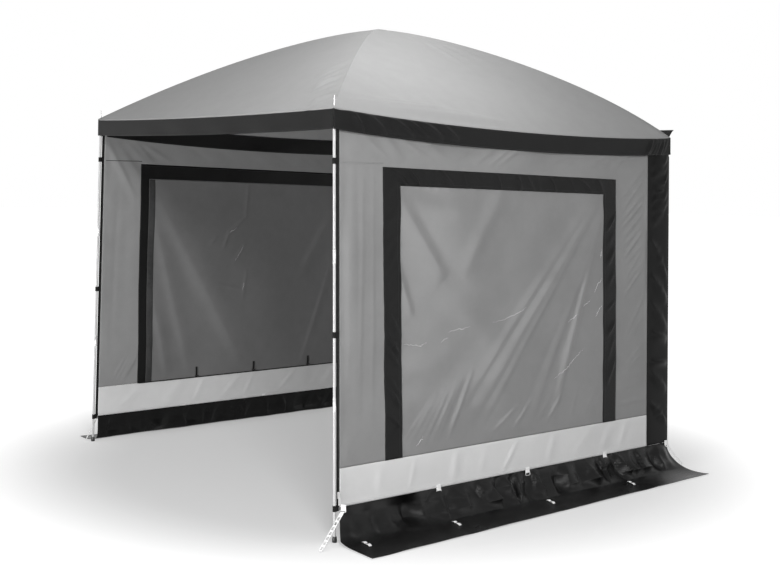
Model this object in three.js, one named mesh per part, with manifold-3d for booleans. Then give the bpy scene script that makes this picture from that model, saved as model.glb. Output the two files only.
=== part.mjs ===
// A square, dome-roofed awning that stands against the side of a camper van.
// The front is open, the two side walls carry a large window each, and the van side is open.
// Millimetres, +Z up, +X to the right along the van, +Y towards the van.
// The fabric is drawn a little thicker than the real cloth, so that each sheet is a solid.

import * as THREE from 'three';
import Module from 'manifold-3d';
import { mergeVertices } from 'three/addons/utils/BufferGeometryUtils.js';

const wasm = await Module();
wasm.setup();

// Driving dimensions of the awning
const eaveWidth = 2270;
const eaveDepth = 2270;
const eaveHeight = 1880;
const rearEaveDrop = 58;
const peakHeight = 2390;
const sideSplay = 79;
const frontSplay = 26;

// Shape of the roof: how it falls from the peak, and how its edges sag
const roofCurvePower = 1.47;
const rearDropPower = 6;
const sagPower = 0.8;
const sideEaveSag = 38;
const endEaveSag = 13;
const roofOverhang = 12;
const roofThickness = 2.4;
const seamGap = 0.3;
const stitchLap = 0.4;
const apexHole = 14;
const capHalf = 46;

// Poles and legs
const poleRadius = 6.35;
const poleClearance = 16.2;
const boreClearance = 0.3;
const socketRadius = 9.2;
const socketLength = 42;
const socketStart = 9;
const poleStraight = 8;
const poleStartShare = 0.1;
const poleEndShare = 0.93;
const poleBends = 12;
const rearLegInset = 19;
const lowerJoinShare = 0.3192;
const upperJoinShare = 0.6612;
const ferruleLength = 60;
const ferruleWall = 1.1;
const pinRadius = 3.75;
const pinHeight = 50;
const pinSeat = 3;
const pinHoleClearance = 0.5;

// Hub under the peak
const hubTopRadius = 17;
const hubRadius = 42;
const hubDepth = 26;
const hubShoulder = 8;
const hubBoreStart = 22;
const hubStubLength = 60;
const hubTopGap = 1.2;

// Foot caps
const capRadius = 11;
const capFootHeight = 26;
const capFloor = 4;
const capBoreClearance = 1.2;
const footRest = 0.6;

// Side wall layout, along the wall and up it
const clothThickness = 2;
const bandCloth = 1.5;
const groundBandTop = 320;
const groundBandBottom = 150;
const wallFrontClearance = 10.5;
const zipTapeWidth = 16;
const zipTapeTopDrop = 24;
const sealWidth = 175;
const sealThickness = 16;
const sealRearInset = 2;
const sealProud = 4;
const sealStepClearance = 5;
const wallTopClearance = 1.2;
const eaveBandHeight = 90;

// Window, its black surround and its blind
const windowFrontInset = 272;
const windowRearInset = 435;
const windowTopDrop = 248;
const surroundSide = 100;
const surroundTop = 80;
const surroundLap = 30;
const innerBandSide = 56;
const innerBandTop = 88;
const blindLap = 10;
const blindSillGap = 2;

// Zip slider
const sliderLength = 30;
const sliderWidth = 13;
const sliderDepth = 4;
const sliderRestHeight = 190;
const pullLength = 34;
const pullWidth = 7;
const pullDepth = 1.6;

// Straps that tie the walls to the front legs
const strapTopDrop = 228;
const strapMiddleShare = 0.4814;
const strapBottomDrop = 2;
const strapTall = 28;
const strapLoopWall = 1.6;
const strapLoopClearance = 0.7;
const strapLap = 13;

// Mud skirt along the foot of each wall
const skirtFrontReach = 12;
const skirtFrontRun = 60;
const skirtRearTail = 89;
const skirtSpreadRight = 283;
const skirtSpreadLeft = 150;
const skirtRearSpreadRight = 217;
const skirtRearSpreadLeft = 130;
const skirtFoldHeight = 20;
const skirtFloorGap = 0.4;
const skirtThickness = 2;
const skirtFoldLength = 236;
const skirtSecondFoldLength = 151;

// Tabs, rings, ladder straps and peg loops
const tabShares = [-0.482, 0.0352, 0.5419];
const ringNames = ['front', 'middle', 'rear'];
const tabWidth = 26;
const tabLap = 14;
const tabDrop = 26;
const tabBulbRadius = 3.6;
const tabBoreRadius = 2.1;
const ringWire = 1.5;
const ringInnerWidth = 30;
const ringInnerDrop = 15;
const ladderWidth = 19;
const ladderThickness = 2.4;
const ladderLengthFrontRight = 226;
const ladderLengthFrontLeft = 150;
const ladderLengthRear = 141;
const ladderFrontTip = 5;
const ladderRearTip = 50;
const ladderHeadingFront = 70;
const ladderSlotLength = 22;
const ladderSlotWidth = 10;
const ladderSlotPitch = 36;
const ladderSlotCount = 3;
const loopShares = [-0.947, -0.4872, 0.06, 0.5885];
const loopWidth = 16;
const loopThickness = 2;
const loopHold = 75;

// How the skirt falls: shares of its spread and of the seam's height, from the seam outwards
const skirtFrontShares = [
  [0, 1], [0, 0.84], [0, 0.66], [0.06, 0.38], [0.17, 0.14], [0.35, 0.02], [0.65, 0], [1, 0],
];
const skirtTightShares = [
  [0, 1], [0, 0.8], [0, 0.6], [0, 0.4], [0.01, 0.2], [0.06, 0.02], [0.5, 0], [1, 0],
];
const skirtRearShares = [
  [0, 1], [0, 0.86], [0.02, 0.7], [0.16, 0.5], [0.4, 0.32], [0.62, 0.2], [0.84, 0.08], [1, 0],
];
const straightShare = 2 / 7;
const edgeFlatShare = 0.8;
const loopStartShare = 0.6;
const loopEndShare = 0.76;

// Connecting flap and bead for the rail on the van
const flapLap = 24;
const flapThickness = 1.5;
const flapReach = 32;
const flapRise = 40;
const beadRadius = 3.5;
const beadInset = 10;

// Blind toggles inside, at the sill
const toggleShares = [-0.3841, -0.0529, 0.2687];
const toggleStrapWidth = 16;
const toggleStrapTall = 30;
const toggleBarRadius = 3.5;
const toggleBarLength = 28;
const toggleDropBelowSill = 6;

// Worked-out sizes
const halfWidth = eaveWidth / 2;
const halfDepth = eaveDepth / 2;
const roofRise = peakHeight - eaveHeight;
const wallTopHalf = halfWidth - roofOverhang;
const wallFootHalf = wallTopHalf + sideSplay;
const tilt = Math.atan2(sideSplay, eaveHeight);
const legTopFrontY = -(halfDepth - roofOverhang);
const legFootFrontY = legTopFrontY - frontSplay;
const windowTopSlope = -rearEaveDrop / eaveDepth;
const sealRear = halfDepth - sealRearInset;
const sealFront = sealRear - sealWidth;
const windowFront = windowFrontInset - halfDepth;
const windowRear = halfDepth - windowRearInset;
const windowTopFront = eaveHeight - windowTopDrop;
const strapHeights = [
  eaveHeight - strapTopDrop, eaveHeight * strapMiddleShare, groundBandBottom - strapBottomDrop,
];
const tabPlaces = tabShares.map((share) => share * halfDepth);
const loopPlaces = loopShares.map((share) => share * halfDepth);
const togglePlaces = toggleShares.map((share) => share * halfDepth);
const lowerJoinHeight = eaveHeight * lowerJoinShare;
const upperJoinHeight = eaveHeight * upperJoinShare;
const sides = { right: 1, left: -1 };
const roundSides = 12;
const smallSides = 8;
const wireSides = 6;

// Materials, one for each finish
function finish(color, roughness, metalness = 0) {
  return new THREE.MeshStandardMaterial({ color, roughness, metalness });
}

const lightCloth = finish(0xb4b4b4, 0.8);
const wallCloth = finish(0x959595, 0.8);
const paleCloth = finish(0xc6c6c6, 0.8);
const blackCloth = finish(0x2a2a2a, 0.75);
const skirtCloth = finish(0x202020, 0.6);
const clearSheet = finish(0x8c8c8c, 0.2);
const blindCloth = finish(0x7d7d7d, 0.85);
const fibreRod = finish(0xd8d8d8, 0.4);
const steel = finish(0xc9c9c9, 0.3, 1);
const blackNylon = finish(0x1d1d1d, 0.5);
const whiteWebbing = finish(0xf0f0f0, 0.8);
const whiteNylon = finish(0xececec, 0.45);

// General shape helpers

// Keeps only the positions, joins the vertices that lie on each other and drops flat triangles.
function bare(geometry) {
  geometry.deleteAttribute('normal');
  geometry.deleteAttribute('uv');
  const merged = mergeVertices(geometry);
  const source = merged.index.array;
  const index = [];
  for (let i = 0; i < source.length; i += 3) {
    const [a, b, c] = [source[i], source[i + 1], source[i + 2]];
    if (a !== b && b !== c && c !== a) index.push(a, b, c);
  }
  return closedGeometry(Array.from(merged.attributes.position.array), index);
}

// Six times the volume that the faces enclose; it is negative when they point inwards.
function signedVolume(positions, index) {
  const a = new THREE.Vector3();
  const b = new THREE.Vector3();
  const c = new THREE.Vector3();
  let sum = 0;
  for (let i = 0; i < index.length; i += 3) {
    a.fromArray(positions, index[i] * 3);
    b.fromArray(positions, index[i + 1] * 3);
    c.fromArray(positions, index[i + 2] * 3);
    sum += a.dot(b.cross(c));
  }
  return sum;
}

// Makes an indexed geometry from flat lists and turns its faces outwards.
function closedGeometry(positions, index) {
  if (signedVolume(positions, index) < 0) {
    for (let i = 0; i < index.length; i += 3) {
      const first = index[i];
      index[i] = index[i + 1];
      index[i + 1] = first;
    }
  }
  const geometry = new THREE.BufferGeometry();
  geometry.setAttribute('position', new THREE.Float32BufferAttribute(positions, 3));
  geometry.setIndex(index);
  return geometry;
}

// A closed sheet over a grid: face(u, v) is one side of the cloth and back(u, v) the other.
function sheet(columns, rows, face, back) {
  const positions = [];
  const index = [];
  const wide = columns + 1;
  const layer = wide * (rows + 1);
  for (const side of [face, back]) {
    for (let j = 0; j <= rows; j += 1) {
      for (let i = 0; i <= columns; i += 1) {
        const p = side(i / columns, j / rows);
        positions.push(p.x, p.y, p.z);
      }
    }
  }
  const quad = (a, b, c, d) => index.push(a, b, c, a, c, d);
  for (let j = 0; j < rows; j += 1) {
    for (let i = 0; i < columns; i += 1) {
      const a = j * wide + i;
      quad(a, a + 1, a + 1 + wide, a + wide);
      quad(layer + a, layer + a + wide, layer + a + 1 + wide, layer + a + 1);
    }
  }
  const rim = [];
  for (let i = 0; i < columns; i += 1) rim.push(i);
  for (let j = 0; j < rows; j += 1) rim.push(columns + j * wide);
  for (let i = columns; i > 0; i -= 1) rim.push(rows * wide + i);
  for (let j = rows; j > 0; j -= 1) rim.push(j * wide);
  rim.forEach((a, k) => {
    const b = rim[(k + 1) % rim.length];
    quad(a, a + layer, b + layer, b);
  });
  return closedGeometry(positions, index);
}

// A straight or bent round bar through a list of points, with flat ends.
function bar(path, radius, count = roundSides) {
  const positions = [];
  const index = [];
  const along = new THREE.Vector3().subVectors(path[path.length - 1], path[0]).normalize();
  const up = Math.abs(along.z) < 0.9 ? new THREE.Vector3(0, 0, 1) : new THREE.Vector3(0, 1, 0);
  const flat = new THREE.Vector3().crossVectors(along, up).normalize();
  path.forEach((point, k) => {
    const before = path[Math.max(k - 1, 0)];
    const after = path[Math.min(k + 1, path.length - 1)];
    const tangent = new THREE.Vector3().subVectors(after, before).normalize();
    const second = new THREE.Vector3().crossVectors(flat, tangent).normalize();
    const first = new THREE.Vector3().crossVectors(tangent, second).normalize();
    for (let i = 0; i < count; i += 1) {
      const angle = (i / count) * 2 * Math.PI;
      const p = point.clone();
      p.addScaledVector(first, radius * Math.cos(angle));
      p.addScaledVector(second, radius * Math.sin(angle));
      positions.push(p.x, p.y, p.z);
    }
  });
  for (let k = 0; k < path.length - 1; k += 1) {
    for (let i = 0; i < count; i += 1) {
      const a = k * count + i;
      const b = k * count + ((i + 1) % count);
      index.push(a, b, b + count, a, b + count, a + count);
    }
  }
  const last = (path.length - 1) * count;
  for (let i = 1; i < count - 1; i += 1) {
    index.push(0, i + 1, i);
    index.push(last, last + i, last + i + 1);
  }
  return closedGeometry(positions, index);
}

// A wall plate: an outline of [along, up] points pressed out between two depths.
// Its along, up and depth axes become Y, Z and X.
function plate(outline, from, to) {
  const shape = new THREE.Shape(outline.map(([y, h]) => new THREE.Vector2(y, h)));
  return pressed(shape, Math.min(from, to), Math.abs(to - from));
}

function pressed(shape, from, depth) {
  const geometry = new THREE.ExtrudeGeometry(shape, { depth, bevelEnabled: false, curveSegments: 6 });
  const axes = new THREE.Matrix4().makeBasis(
    new THREE.Vector3(0, 1, 0),
    new THREE.Vector3(0, 0, 1),
    new THREE.Vector3(1, 0, 0),
  );
  geometry.applyMatrix4(axes);
  geometry.translate(from, 0, 0);
  return bare(geometry);
}

// A turned piece about the Z axis; the profile is a list of [radius, height] points.
function turned(profile, count = roundSides) {
  const points = profile.map(([r, z]) => new THREE.Vector2(r, z));
  const geometry = new THREE.LatheGeometry(points, count);
  return bare(geometry.rotateX(Math.PI / 2));
}

// A plain round rod along Z.
function rod(radius, low, high, count = smallSides) {
  return turned([[0, low], [radius, low], [radius, high], [0, high]], count);
}

// A cutter for a round bore: its flats, not its corners, lie at the radius.
function drill(radius, low, high, count = smallSides) {
  return rod(radius / Math.cos(Math.PI / count), low, high, count);
}

// A tube with a wall, along Z, closed on itself.
function sleeve(inner, outer, low, high, count = roundSides) {
  return turned([[inner, low], [outer, low], [outer, high], [inner, high], [inner, low]], count);
}

function box(lowX, highX, lowY, highY, lowZ, highZ) {
  const geometry = new THREE.BoxGeometry(highX - lowX, highY - lowY, highZ - lowZ);
  geometry.translate((lowX + highX) / 2, (lowY + highY) / 2, (lowZ + highZ) / 2);
  return bare(geometry);
}

// Joining and cutting closed pieces
function solid(geometry) {
  return new wasm.Manifold(new wasm.Mesh({
    numProp: 3,
    vertProperties: new Float32Array(geometry.attributes.position.array),
    triVerts: new Uint32Array(geometry.index.array),
  }));
}

function fromSolid(manifold) {
  const mesh = manifold.getMesh();
  return closedGeometry(Array.from(mesh.vertProperties), Array.from(mesh.triVerts));
}

function joined(pieces) {
  return fromSolid(pieces.map(solid).reduce((all, next) => all.add(next)));
}

function cut(geometry, tools) {
  return fromSolid(tools.map(solid).reduce((all, next) => all.subtract(next), solid(geometry)));
}

// Turns a piece built along Z so that it runs along a direction from a point.
function aimed(geometry, origin, direction) {
  const turn = new THREE.Quaternion().setFromUnitVectors(
    new THREE.Vector3(0, 0, 1),
    direction.clone().normalize(),
  );
  geometry.applyQuaternion(turn);
  return geometry.translate(origin.x, origin.y, origin.z);
}

const upwards = new THREE.Vector3(0, 0, 1);

const awning = new THREE.Group();
const sideGroups = {};
for (const [name, side] of Object.entries(sides)) {
  const group = new THREE.Group();
  group.position.set(side * wallFootHalf, 0, 0);
  group.rotation.y = -side * tilt;
  sideGroups[name] = group;
  awning.add(group);
}

function addPiece(name, geometry, material, parent = awning) {
  geometry.computeVertexNormals();
  const mesh = new THREE.Mesh(geometry, material);
  mesh.name = name;
  parent.add(mesh);
}

// The roof surface

// Height of the roof over a point of the plan. Reach is 0 at the peak and 1 at the eaves.
function roofHeight(x, y) {
  const reachX = Math.abs(x) / halfWidth;
  const reachY = Math.abs(y) / halfDepth;
  const reach = Math.max(reachX, reachY);
  if (reach === 0) return peakHeight;
  const onSide = reachX >= reachY;
  const across = onSide ? y / (reach * halfDepth) : x / (reach * halfWidth);
  const towardsVan = (y / (reach * halfDepth) + 1) / 2;
  const sag = (onSide ? sideEaveSag : endEaveSag) * reach ** 2;
  const slack = Math.max(1 - across ** 2, 0) ** sagPower;
  return peakHeight - roofRise * reach ** roofCurvePower
    - rearEaveDrop * towardsVan * reach ** rearDropPower - sag * slack;
}

// Each panel is a gore between two ridges, straight across but for its sag.
const panelDirections = {
  front: { x: (t, s) => s * (t * halfWidth - seamGap), y: (t) => -t * halfDepth },
  rear: { x: (t, s) => s * (t * halfWidth - seamGap), y: (t) => t * halfDepth },
  right: { x: (t) => t * halfWidth, y: (t, s) => s * (t * halfDepth - seamGap) },
  left: { x: (t) => -t * halfWidth, y: (t, s) => s * (t * halfDepth - seamGap) },
};

function roofPanel(direction) {
  const start = apexHole / halfWidth;
  const point = (u, v, lower) => {
    const t = start + (1 - start) * v;
    const s = 2 * u - 1;
    const x = direction.x(t, s);
    const y = direction.y(t, s);
    return new THREE.Vector3(x, y, roofHeight(x, y) - lower);
  };
  return sheet(8, 10, (u, v) => point(u, v, 0), (u, v) => point(u, v, roofThickness));
}

// Joints where the roof poles meet the legs

function wallX(height) {
  return wallTopHalf + sideSplay * (1 - height / eaveHeight);
}

// A point of a roof pole's middle line; it keeps its clearance square to the slope of the ridge.
function polePoint(reach, sx, sy) {
  const x = sx * reach * halfWidth;
  const y = sy * reach * halfDepth;
  const z = roofHeight(x, y);
  const step = 1e-3;
  const nearer = roofHeight(x * (1 - step), y * (1 - step));
  const slope = (nearer - z) / (step * Math.hypot(x, y));
  return new THREE.Vector3(x, y, z - poleClearance * Math.hypot(1, slope));
}

// One corner: where its joint, its leg and its roof pole lie.
function cornerFrame(sx, sy) {
  const inset = sy < 0 ? 0 : rearLegInset;
  const planX = wallTopHalf - inset;
  const planY = halfDepth - roofOverhang - inset;
  const reach = planX / halfWidth;
  const top = polePoint(reach, sx, sy);
  top.y = sy * planY;
  top.x = sx * (wallX(top.z) - inset);
  const foot = new THREE.Vector3(
    sx * (wallFootHalf - inset),
    sy < 0 ? legFootFrontY : sy * planY,
    0,
  );
  const legDown = new THREE.Vector3().subVectors(foot, top).normalize();
  const inward = new THREE.Vector3().subVectors(polePoint(poleEndShare, sx, sy), top).normalize();
  return { sx, sy, top, foot, legDown, inward, front: sy < 0 };
}

const corners = {
  front_right: cornerFrame(1, -1),
  front_left: cornerFrame(-1, -1),
  rear_right: cornerFrame(1, 1),
  rear_left: cornerFrame(-1, 1),
};

function pointDownLeg(corner, height) {
  const share = (corner.top.z - height) / (corner.top.z - corner.foot.z);
  return corner.top.clone().lerp(corner.foot, share);
}

function cornerJoint(corner) {
  const bore = poleRadius + boreClearance;
  const body = joined([
    bare(new THREE.SphereGeometry(socketRadius, smallSides, wireSides)
      .translate(corner.top.x, corner.top.y, corner.top.z)),
    aimed(rod(socketRadius, 0, socketLength),
      corner.top, corner.legDown),
    aimed(rod(socketRadius, 0, socketLength),
      corner.top, corner.inward),
  ]);
  const tools = [
    aimed(drill(bore, socketStart, socketStart + socketLength), corner.top, corner.legDown),
    aimed(drill(bore, socketStart, socketStart + socketLength), corner.top, corner.inward),
  ];
  if (corner.front) {
    const hole = pinRadius + boreClearance;
    tools.push(aimed(drill(hole, pinSeat - boreClearance, socketLength), corner.top, upwards));
  }
  return cut(body, tools);
}

function cornerPin(corner) {
  const low = corner.top.z + pinSeat;
  const high = eaveHeight + pinHeight;
  const tip = pinRadius / 3;
  const profile = [
    [0, low], [pinRadius, low], [pinRadius, high - tip], [pinRadius - tip, high], [0, high],
  ];
  return turned(profile).translate(corner.top.x, corner.top.y, 0);
}

function roofPole(corner) {
  const { sx, sy, top, inward } = corner;
  const plan = Math.hypot(halfWidth, halfDepth);
  const hubHeight = hubBoreHeight();
  const atHub = (r) => {
    const share = r / plan;
    return new THREE.Vector3(sx * halfWidth * share, sy * halfDepth * share, hubHeight);
  };
  const path = [atHub(hubBoreStart), atHub(hubStubLength)];
  const steps = poleBends - 1;
  for (let i = 0; i <= steps; i += 1) {
    path.push(polePoint(THREE.MathUtils.lerp(poleStartShare, poleEndShare, i / steps), sx, sy));
  }
  path.push(top.clone().addScaledVector(inward, socketLength + poleStraight));
  path.push(top.clone().addScaledVector(inward, socketStart + boreClearance));
  return bar(path, poleRadius, smallSides);
}

// Legs in three lengths; the upper end of each join carries the metal ferrule that covers it

function legLengths(corner) {
  const halfGap = boreClearance / 2;
  const top = corner.top.clone().addScaledVector(corner.legDown, socketStart + boreClearance);
  const foot = pointDownLeg(corner, capFloor + footRest);
  if (!corner.front) return { leg: joined([bar([top, foot], poleRadius), solidFoot(corner)]) };
  const upperEnd = pointDownLeg(corner, upperJoinHeight + halfGap);
  const lowerEnd = pointDownLeg(corner, lowerJoinHeight + halfGap);
  return {
    leg_upper: withFerrule(bar([top, upperEnd], poleRadius), upperEnd, corner),
    leg_middle: withFerrule(bar([pointDownLeg(corner, upperJoinHeight - halfGap), lowerEnd], poleRadius),
      lowerEnd, corner),
    leg_lower: bar([pointDownLeg(corner, lowerJoinHeight - halfGap), foot], poleRadius),
  };
}

// The ferrule is fixed on the rod above the join; the rod below pushes into its bore.
function withFerrule(section, end, corner) {
  const bore = poleRadius + boreClearance;
  const length = ferruleLength / 2;
  const tube = rod(bore + ferruleWall, -length, length, roundSides);
  const cutter = drill(bore, 0, ferruleLength, roundSides);
  return cut(joined([section, aimed(tube, end, corner.legDown)]), [aimed(cutter, end, corner.legDown)]);
}

// The hidden rear legs end in a plain foot.
function solidFoot(corner) {
  return rod(capRadius, 0, capFootHeight, roundSides).translate(corner.foot.x, corner.foot.y, 0);
}

function footCap(corner) {
  const bore = poleRadius + capBoreClearance;
  return turned([
    [0, 0], [capRadius, 0], [capRadius, capFootHeight / 2], [bore + ferruleWall, capFootHeight],
    [bore, capFootHeight], [bore, capFloor], [0, capFloor],
  ]).translate(corner.foot.x, corner.foot.y, 0);
}

// Hub: a domed block with four stubs that the roof poles push into

function hubBoreHeight() {
  return peakHeight - roofThickness - poleClearance;
}

function roofHub() {
  const bore = poleRadius + boreClearance;
  const top = roofHeight(hubTopRadius, 0) - roofThickness - hubTopGap;
  const body = turned([
    [0, top - hubDepth], [hubRadius, top - hubDepth], [hubRadius, top - hubShoulder],
    [hubTopRadius, top], [0, top],
  ], roundSides);
  const pieces = [body];
  const tools = [];
  for (const corner of Object.values(corners)) {
    const outward = new THREE.Vector3(corner.sx * halfWidth, corner.sy * halfDepth, 0);
    const centre = new THREE.Vector3(0, 0, hubBoreHeight());
    pieces.push(aimed(rod(socketRadius, 0, hubStubLength), centre, outward));
    const cutter = drill(bore, hubBoreStart - boreClearance, hubStubLength + socketStart);
    tools.push(aimed(cutter, centre, outward));
  }
  return cut(joined(pieces), tools);
}

// Bands that hang from the eaves, and the flap and bead towards the van

function eaveUnderside(x, y) {
  return roofHeight(x, y) - roofThickness - seamGap;
}

function endBand(y, from, to) {
  const half = halfWidth - clothThickness - seamGap * 2;
  const rows = 12;
  const top = [];
  const bottom = [];
  for (let i = 0; i <= rows; i += 1) {
    const x = -half + (2 * half * i) / rows;
    const z = eaveUnderside(x, y);
    top.push([x, z]);
    bottom.unshift([x, z - eaveBandHeight]);
  }
  const shape = new THREE.Shape([...top, ...bottom].map(([x, z]) => new THREE.Vector2(x, z)));
  const geometry = new THREE.ExtrudeGeometry(shape, { depth: to - from, bevelEnabled: false });
  geometry.rotateX(Math.PI / 2);
  geometry.translate(0, to, 0);
  return bare(geometry);
}

// Height up the slope of a side wall for a level height and a depth outwards from the wall.
function slopeHeight(height, depth = 0) {
  return (height - depth * Math.sin(tilt)) / Math.cos(tilt);
}

function sideBand(side) {
  const outer = roofOverhang;
  const inner = roofOverhang - clothThickness;
  const rows = 16;
  const top = [];
  const bottom = [];
  for (let i = 0; i <= rows; i += 1) {
    const y = -halfDepth + (eaveDepth * i) / rows;
    const h = slopeHeight(eaveUnderside(halfWidth, y), outer);
    top.push([y, h]);
    bottom.unshift([y, h - eaveBandHeight]);
  }
  return plate([...top, ...bottom], side * inner, side * outer);
}

function vanFlap() {
  const y = halfDepth + seamGap;
  const half = halfWidth - beadInset;
  const beadZ = roofHeight(halfWidth, halfDepth) + flapRise;
  const rise = (x, v, offset) => {
    const eave = roofHeight(x, halfDepth);
    const low = new THREE.Vector3(x, y + offset, eave - flapLap);
    const bend = new THREE.Vector3(x, y + offset, eave + clothThickness);
    const high = new THREE.Vector3(x, y + flapReach + offset, beadZ);
    return v < 0.5 ? low.lerp(bend, v * 2) : bend.lerp(high, v * 2 - 1);
  };
  return sheet(8, 2, (u, v) => rise(half * (2 * u - 1), v, 0),
    (u, v) => rise(half * (2 * u - 1), v, flapThickness));
}

function railBead() {
  const half = halfWidth - beadInset;
  const y = halfDepth + seamGap + flapReach + flapThickness / 2;
  const z = roofHeight(halfWidth, halfDepth) + flapRise;
  return bar([new THREE.Vector3(-half, y, z), new THREE.Vector3(half, y, z)], beadRadius, smallSides);
}

function peakCap() {
  const point = (u, v, lift) => {
    const x = capHalf * (2 * u - 1);
    const y = capHalf * (2 * v - 1);
    return new THREE.Vector3(x, y, roofHeight(x, y) + lift);
  };
  return sheet(6, 6, (u, v) => point(u, v, seamGap + clothThickness), (u, v) => point(u, v, seamGap));
}

// Side walls, laid out in the sloping plane of each wall

function legY(h) {
  return legTopFrontY - frontSplay * (1 - h / slopeHeight(eaveHeight));
}

function tapeFront(h) {
  return legY(h) + wallFrontClearance;
}

function wallFront(h) {
  return tapeFront(h) + zipTapeWidth + seamGap;
}

function windowTop(y) {
  return windowTopFront + windowTopSlope * (y - windowFront);
}

const half = clothThickness / 2;

// Height up the wall where a piece of the given half thickness meets the roof.
function wallTop(y, depth = half) {
  const outer = wallX(roofHeight(wallTopHalf, y)) + depth;
  return slopeHeight(roofHeight(outer, y) - roofThickness - wallTopClearance);
}

// Points along the top of a wall piece, from one place along the wall to another.
function topEdge(fromY, toY, count, depth = half) {
  const points = [];
  for (let i = 0; i <= count; i += 1) {
    const y = fromY + ((toY - fromY) * i) / count;
    points.push([y, wallTop(y, depth)]);
  }
  return points;
}

const groundTop = slopeHeight(groundBandTop);
const groundBottom = slopeHeight(groundBandBottom);
const sill = groundTop + seamGap;
const paneFront = windowFront + surroundLap;
const paneRear = windowRear - surroundLap;
const eaveSlope = slopeHeight(eaveHeight);

function sideWall() {
  const rear = sealFront - seamGap;
  const front = wallFront(eaveSlope);
  return plate([
    [wallFront(sill), sill],
    ...topEdge(front, rear, 12),
    [rear, sill],
    [paneRear + seamGap, sill],
    [paneRear + seamGap, windowTop(paneRear) - surroundLap + seamGap],
    [paneFront - seamGap, windowTop(paneFront) - surroundLap + seamGap],
    [paneFront - seamGap, sill],
  ], -half, half);
}

function invertedU(front, rear, sideWidth, topWidth, from, to) {
  return plate([
    [front, sill], [front, windowTop(front)], [rear, windowTop(rear)], [rear, sill],
    [rear - sideWidth, sill], [rear - sideWidth, windowTop(rear - sideWidth) - topWidth],
    [front + sideWidth, windowTop(front + sideWidth) - topWidth], [front + sideWidth, sill],
  ], from, to);
}

function windowSurround(side) {
  const near = half + seamGap;
  const far = near + bandCloth;
  return invertedU(windowFront, windowRear, surroundSide, surroundTop, side * near, side * far);
}

function windowPane() {
  return plate([
    [paneFront, sill], [paneFront, windowTop(paneFront) - surroundLap],
    [paneRear, windowTop(paneRear) - surroundLap], [paneRear, sill],
  ], -half, half);
}

function windowBlind(side) {
  const front = windowFront + innerBandSide - blindLap;
  const rear = windowRear - innerBandSide + blindLap;
  const drop = innerBandTop - blindLap;
  const low = sill + blindSillGap;
  const near = half + seamGap;
  return plate([
    [front, low], [front, windowTop(front) - drop], [rear, windowTop(rear) - drop], [rear, low],
  ], -side * near, -side * (near + bandCloth));
}

// The pale band at the foot of the wall, with the tabs and the blind's toggles sewn to it.
function groundBand(side, name) {
  const low = groundBottom + seamGap;
  const rear = sealFront - seamGap;
  const cloth = plate([
    [wallFront(low), low], [wallFront(groundTop), groundTop], [rear, groundTop], [rear, low],
  ], -half, half);
  const tabs = tabPlaces.map((y) => placeOnWall(tabGeometry(tabWidth), side, y));
  return joined([cloth, ...tabs, ...toggles(side), cornerTab(`front_${name}`)]);
}

// The pad that presses on the van: below the rear eave band it stands a little behind the band.
function vanSeal(side, name) {
  const low = groundBottom + seamGap;
  const bandFoot = eaveUnderside(wallTopHalf, halfDepth) - eaveBandHeight;
  const step = slopeHeight(bandFoot - sealStepClearance);
  const pad = plate([
    [sealFront, low],
    ...topEdge(sealFront, sealRear, 4, sealThickness / 2),
    [sealRear, step],
    [sealRear + sealProud, step],
    [sealRear + sealProud, low],
  ], -sealThickness / 2, sealThickness / 2);
  return joined([pad, cornerTab(`rear_${name}`)]);
}

// The black tape with the zip, and the straps sewn to it that close round the leg.
function zipTape(side) {
  const low = groundBottom + seamGap;
  const high = eaveSlope - zipTapeTopDrop;
  const tape = plate([
    [tapeFront(low), low], [tapeFront(high), high],
    [tapeFront(high) + zipTapeWidth, high], [tapeFront(low) + zipTapeWidth, low],
  ], -half, half);
  return joined([tape, ...strapHeights.map((height) => legStrap(side, height))]);
}

// A slider on the outer face of the tape, with its pull hanging below.
function zipSlider(side) {
  const h = sliderRestHeight;
  const middle = tapeFront(h) + zipTapeWidth / 2;
  const near = half + seamGap;
  const block = [near, near + sliderDepth];
  const pull = [near + sliderDepth - pullDepth, near + sliderDepth];
  const spread = (range) => range.map((n) => side * n).sort((a, b) => a - b);
  return joined([
    box(...spread(block), middle - sliderWidth / 2, middle + sliderWidth / 2, h, h + sliderLength),
    box(...spread(pull), middle - pullWidth / 2, middle + pullWidth / 2, h - pullLength, h + pullDepth),
  ]);
}

// A loop round the leg with a tail that laps the inner face of the zip tape.
function legStrap(side, height) {
  const h = slopeHeight(height) - strapTall / 2;
  const inner = (poleRadius + strapLoopClearance) / Math.cos(Math.PI / smallSides);
  const outer = inner + strapLoopWall;
  const y = legY(h);
  const near = -side * (half - stitchLap);
  const far = -side * (half + strapLoopWall);
  const loop = sleeve(inner, outer, h, h + strapTall, smallSides).translate(0, y, 0);
  const tail = box(Math.min(near, far), Math.max(near, far),
    y + inner + stitchLap, tapeFront(h) + strapLap, h, h + strapTall);
  return joined([loop, tail]);
}

// Mud skirt: it falls from the foot of the wall and spreads out over the ground in loose folds

const skirtSizes = {
  right: {
    spread: skirtSpreadRight,
    rearSpread: skirtRearSpreadRight,
    front: skirtFrontShares,
    rear: skirtRearShares,
  },
  left: {
    spread: skirtSpreadLeft,
    rearSpread: skirtRearSpreadLeft,
    front: skirtTightShares,
    rear: skirtTightShares,
  },
};

// How much a place is left to fold freely; the peg loops hold the cloth flat.
function foldFreedom(y) {
  return loopPlaces.reduce((free, place) => {
    const away = Math.abs(y - place - loopWidth / 2) / loopHold;
    return free * Math.min(1, away) ** 2;
  }, 1);
}

// A point between the entries of a share table; v runs from 0 at its start to 1 at its end.
function alongShares(table, v) {
  const place = v * (table.length - 1);
  const k = Math.min(Math.floor(place), table.length - 2);
  const part = place - k;
  return table[k].map((value, i) => THREE.MathUtils.lerp(value, table[k + 1][i], part));
}

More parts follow.
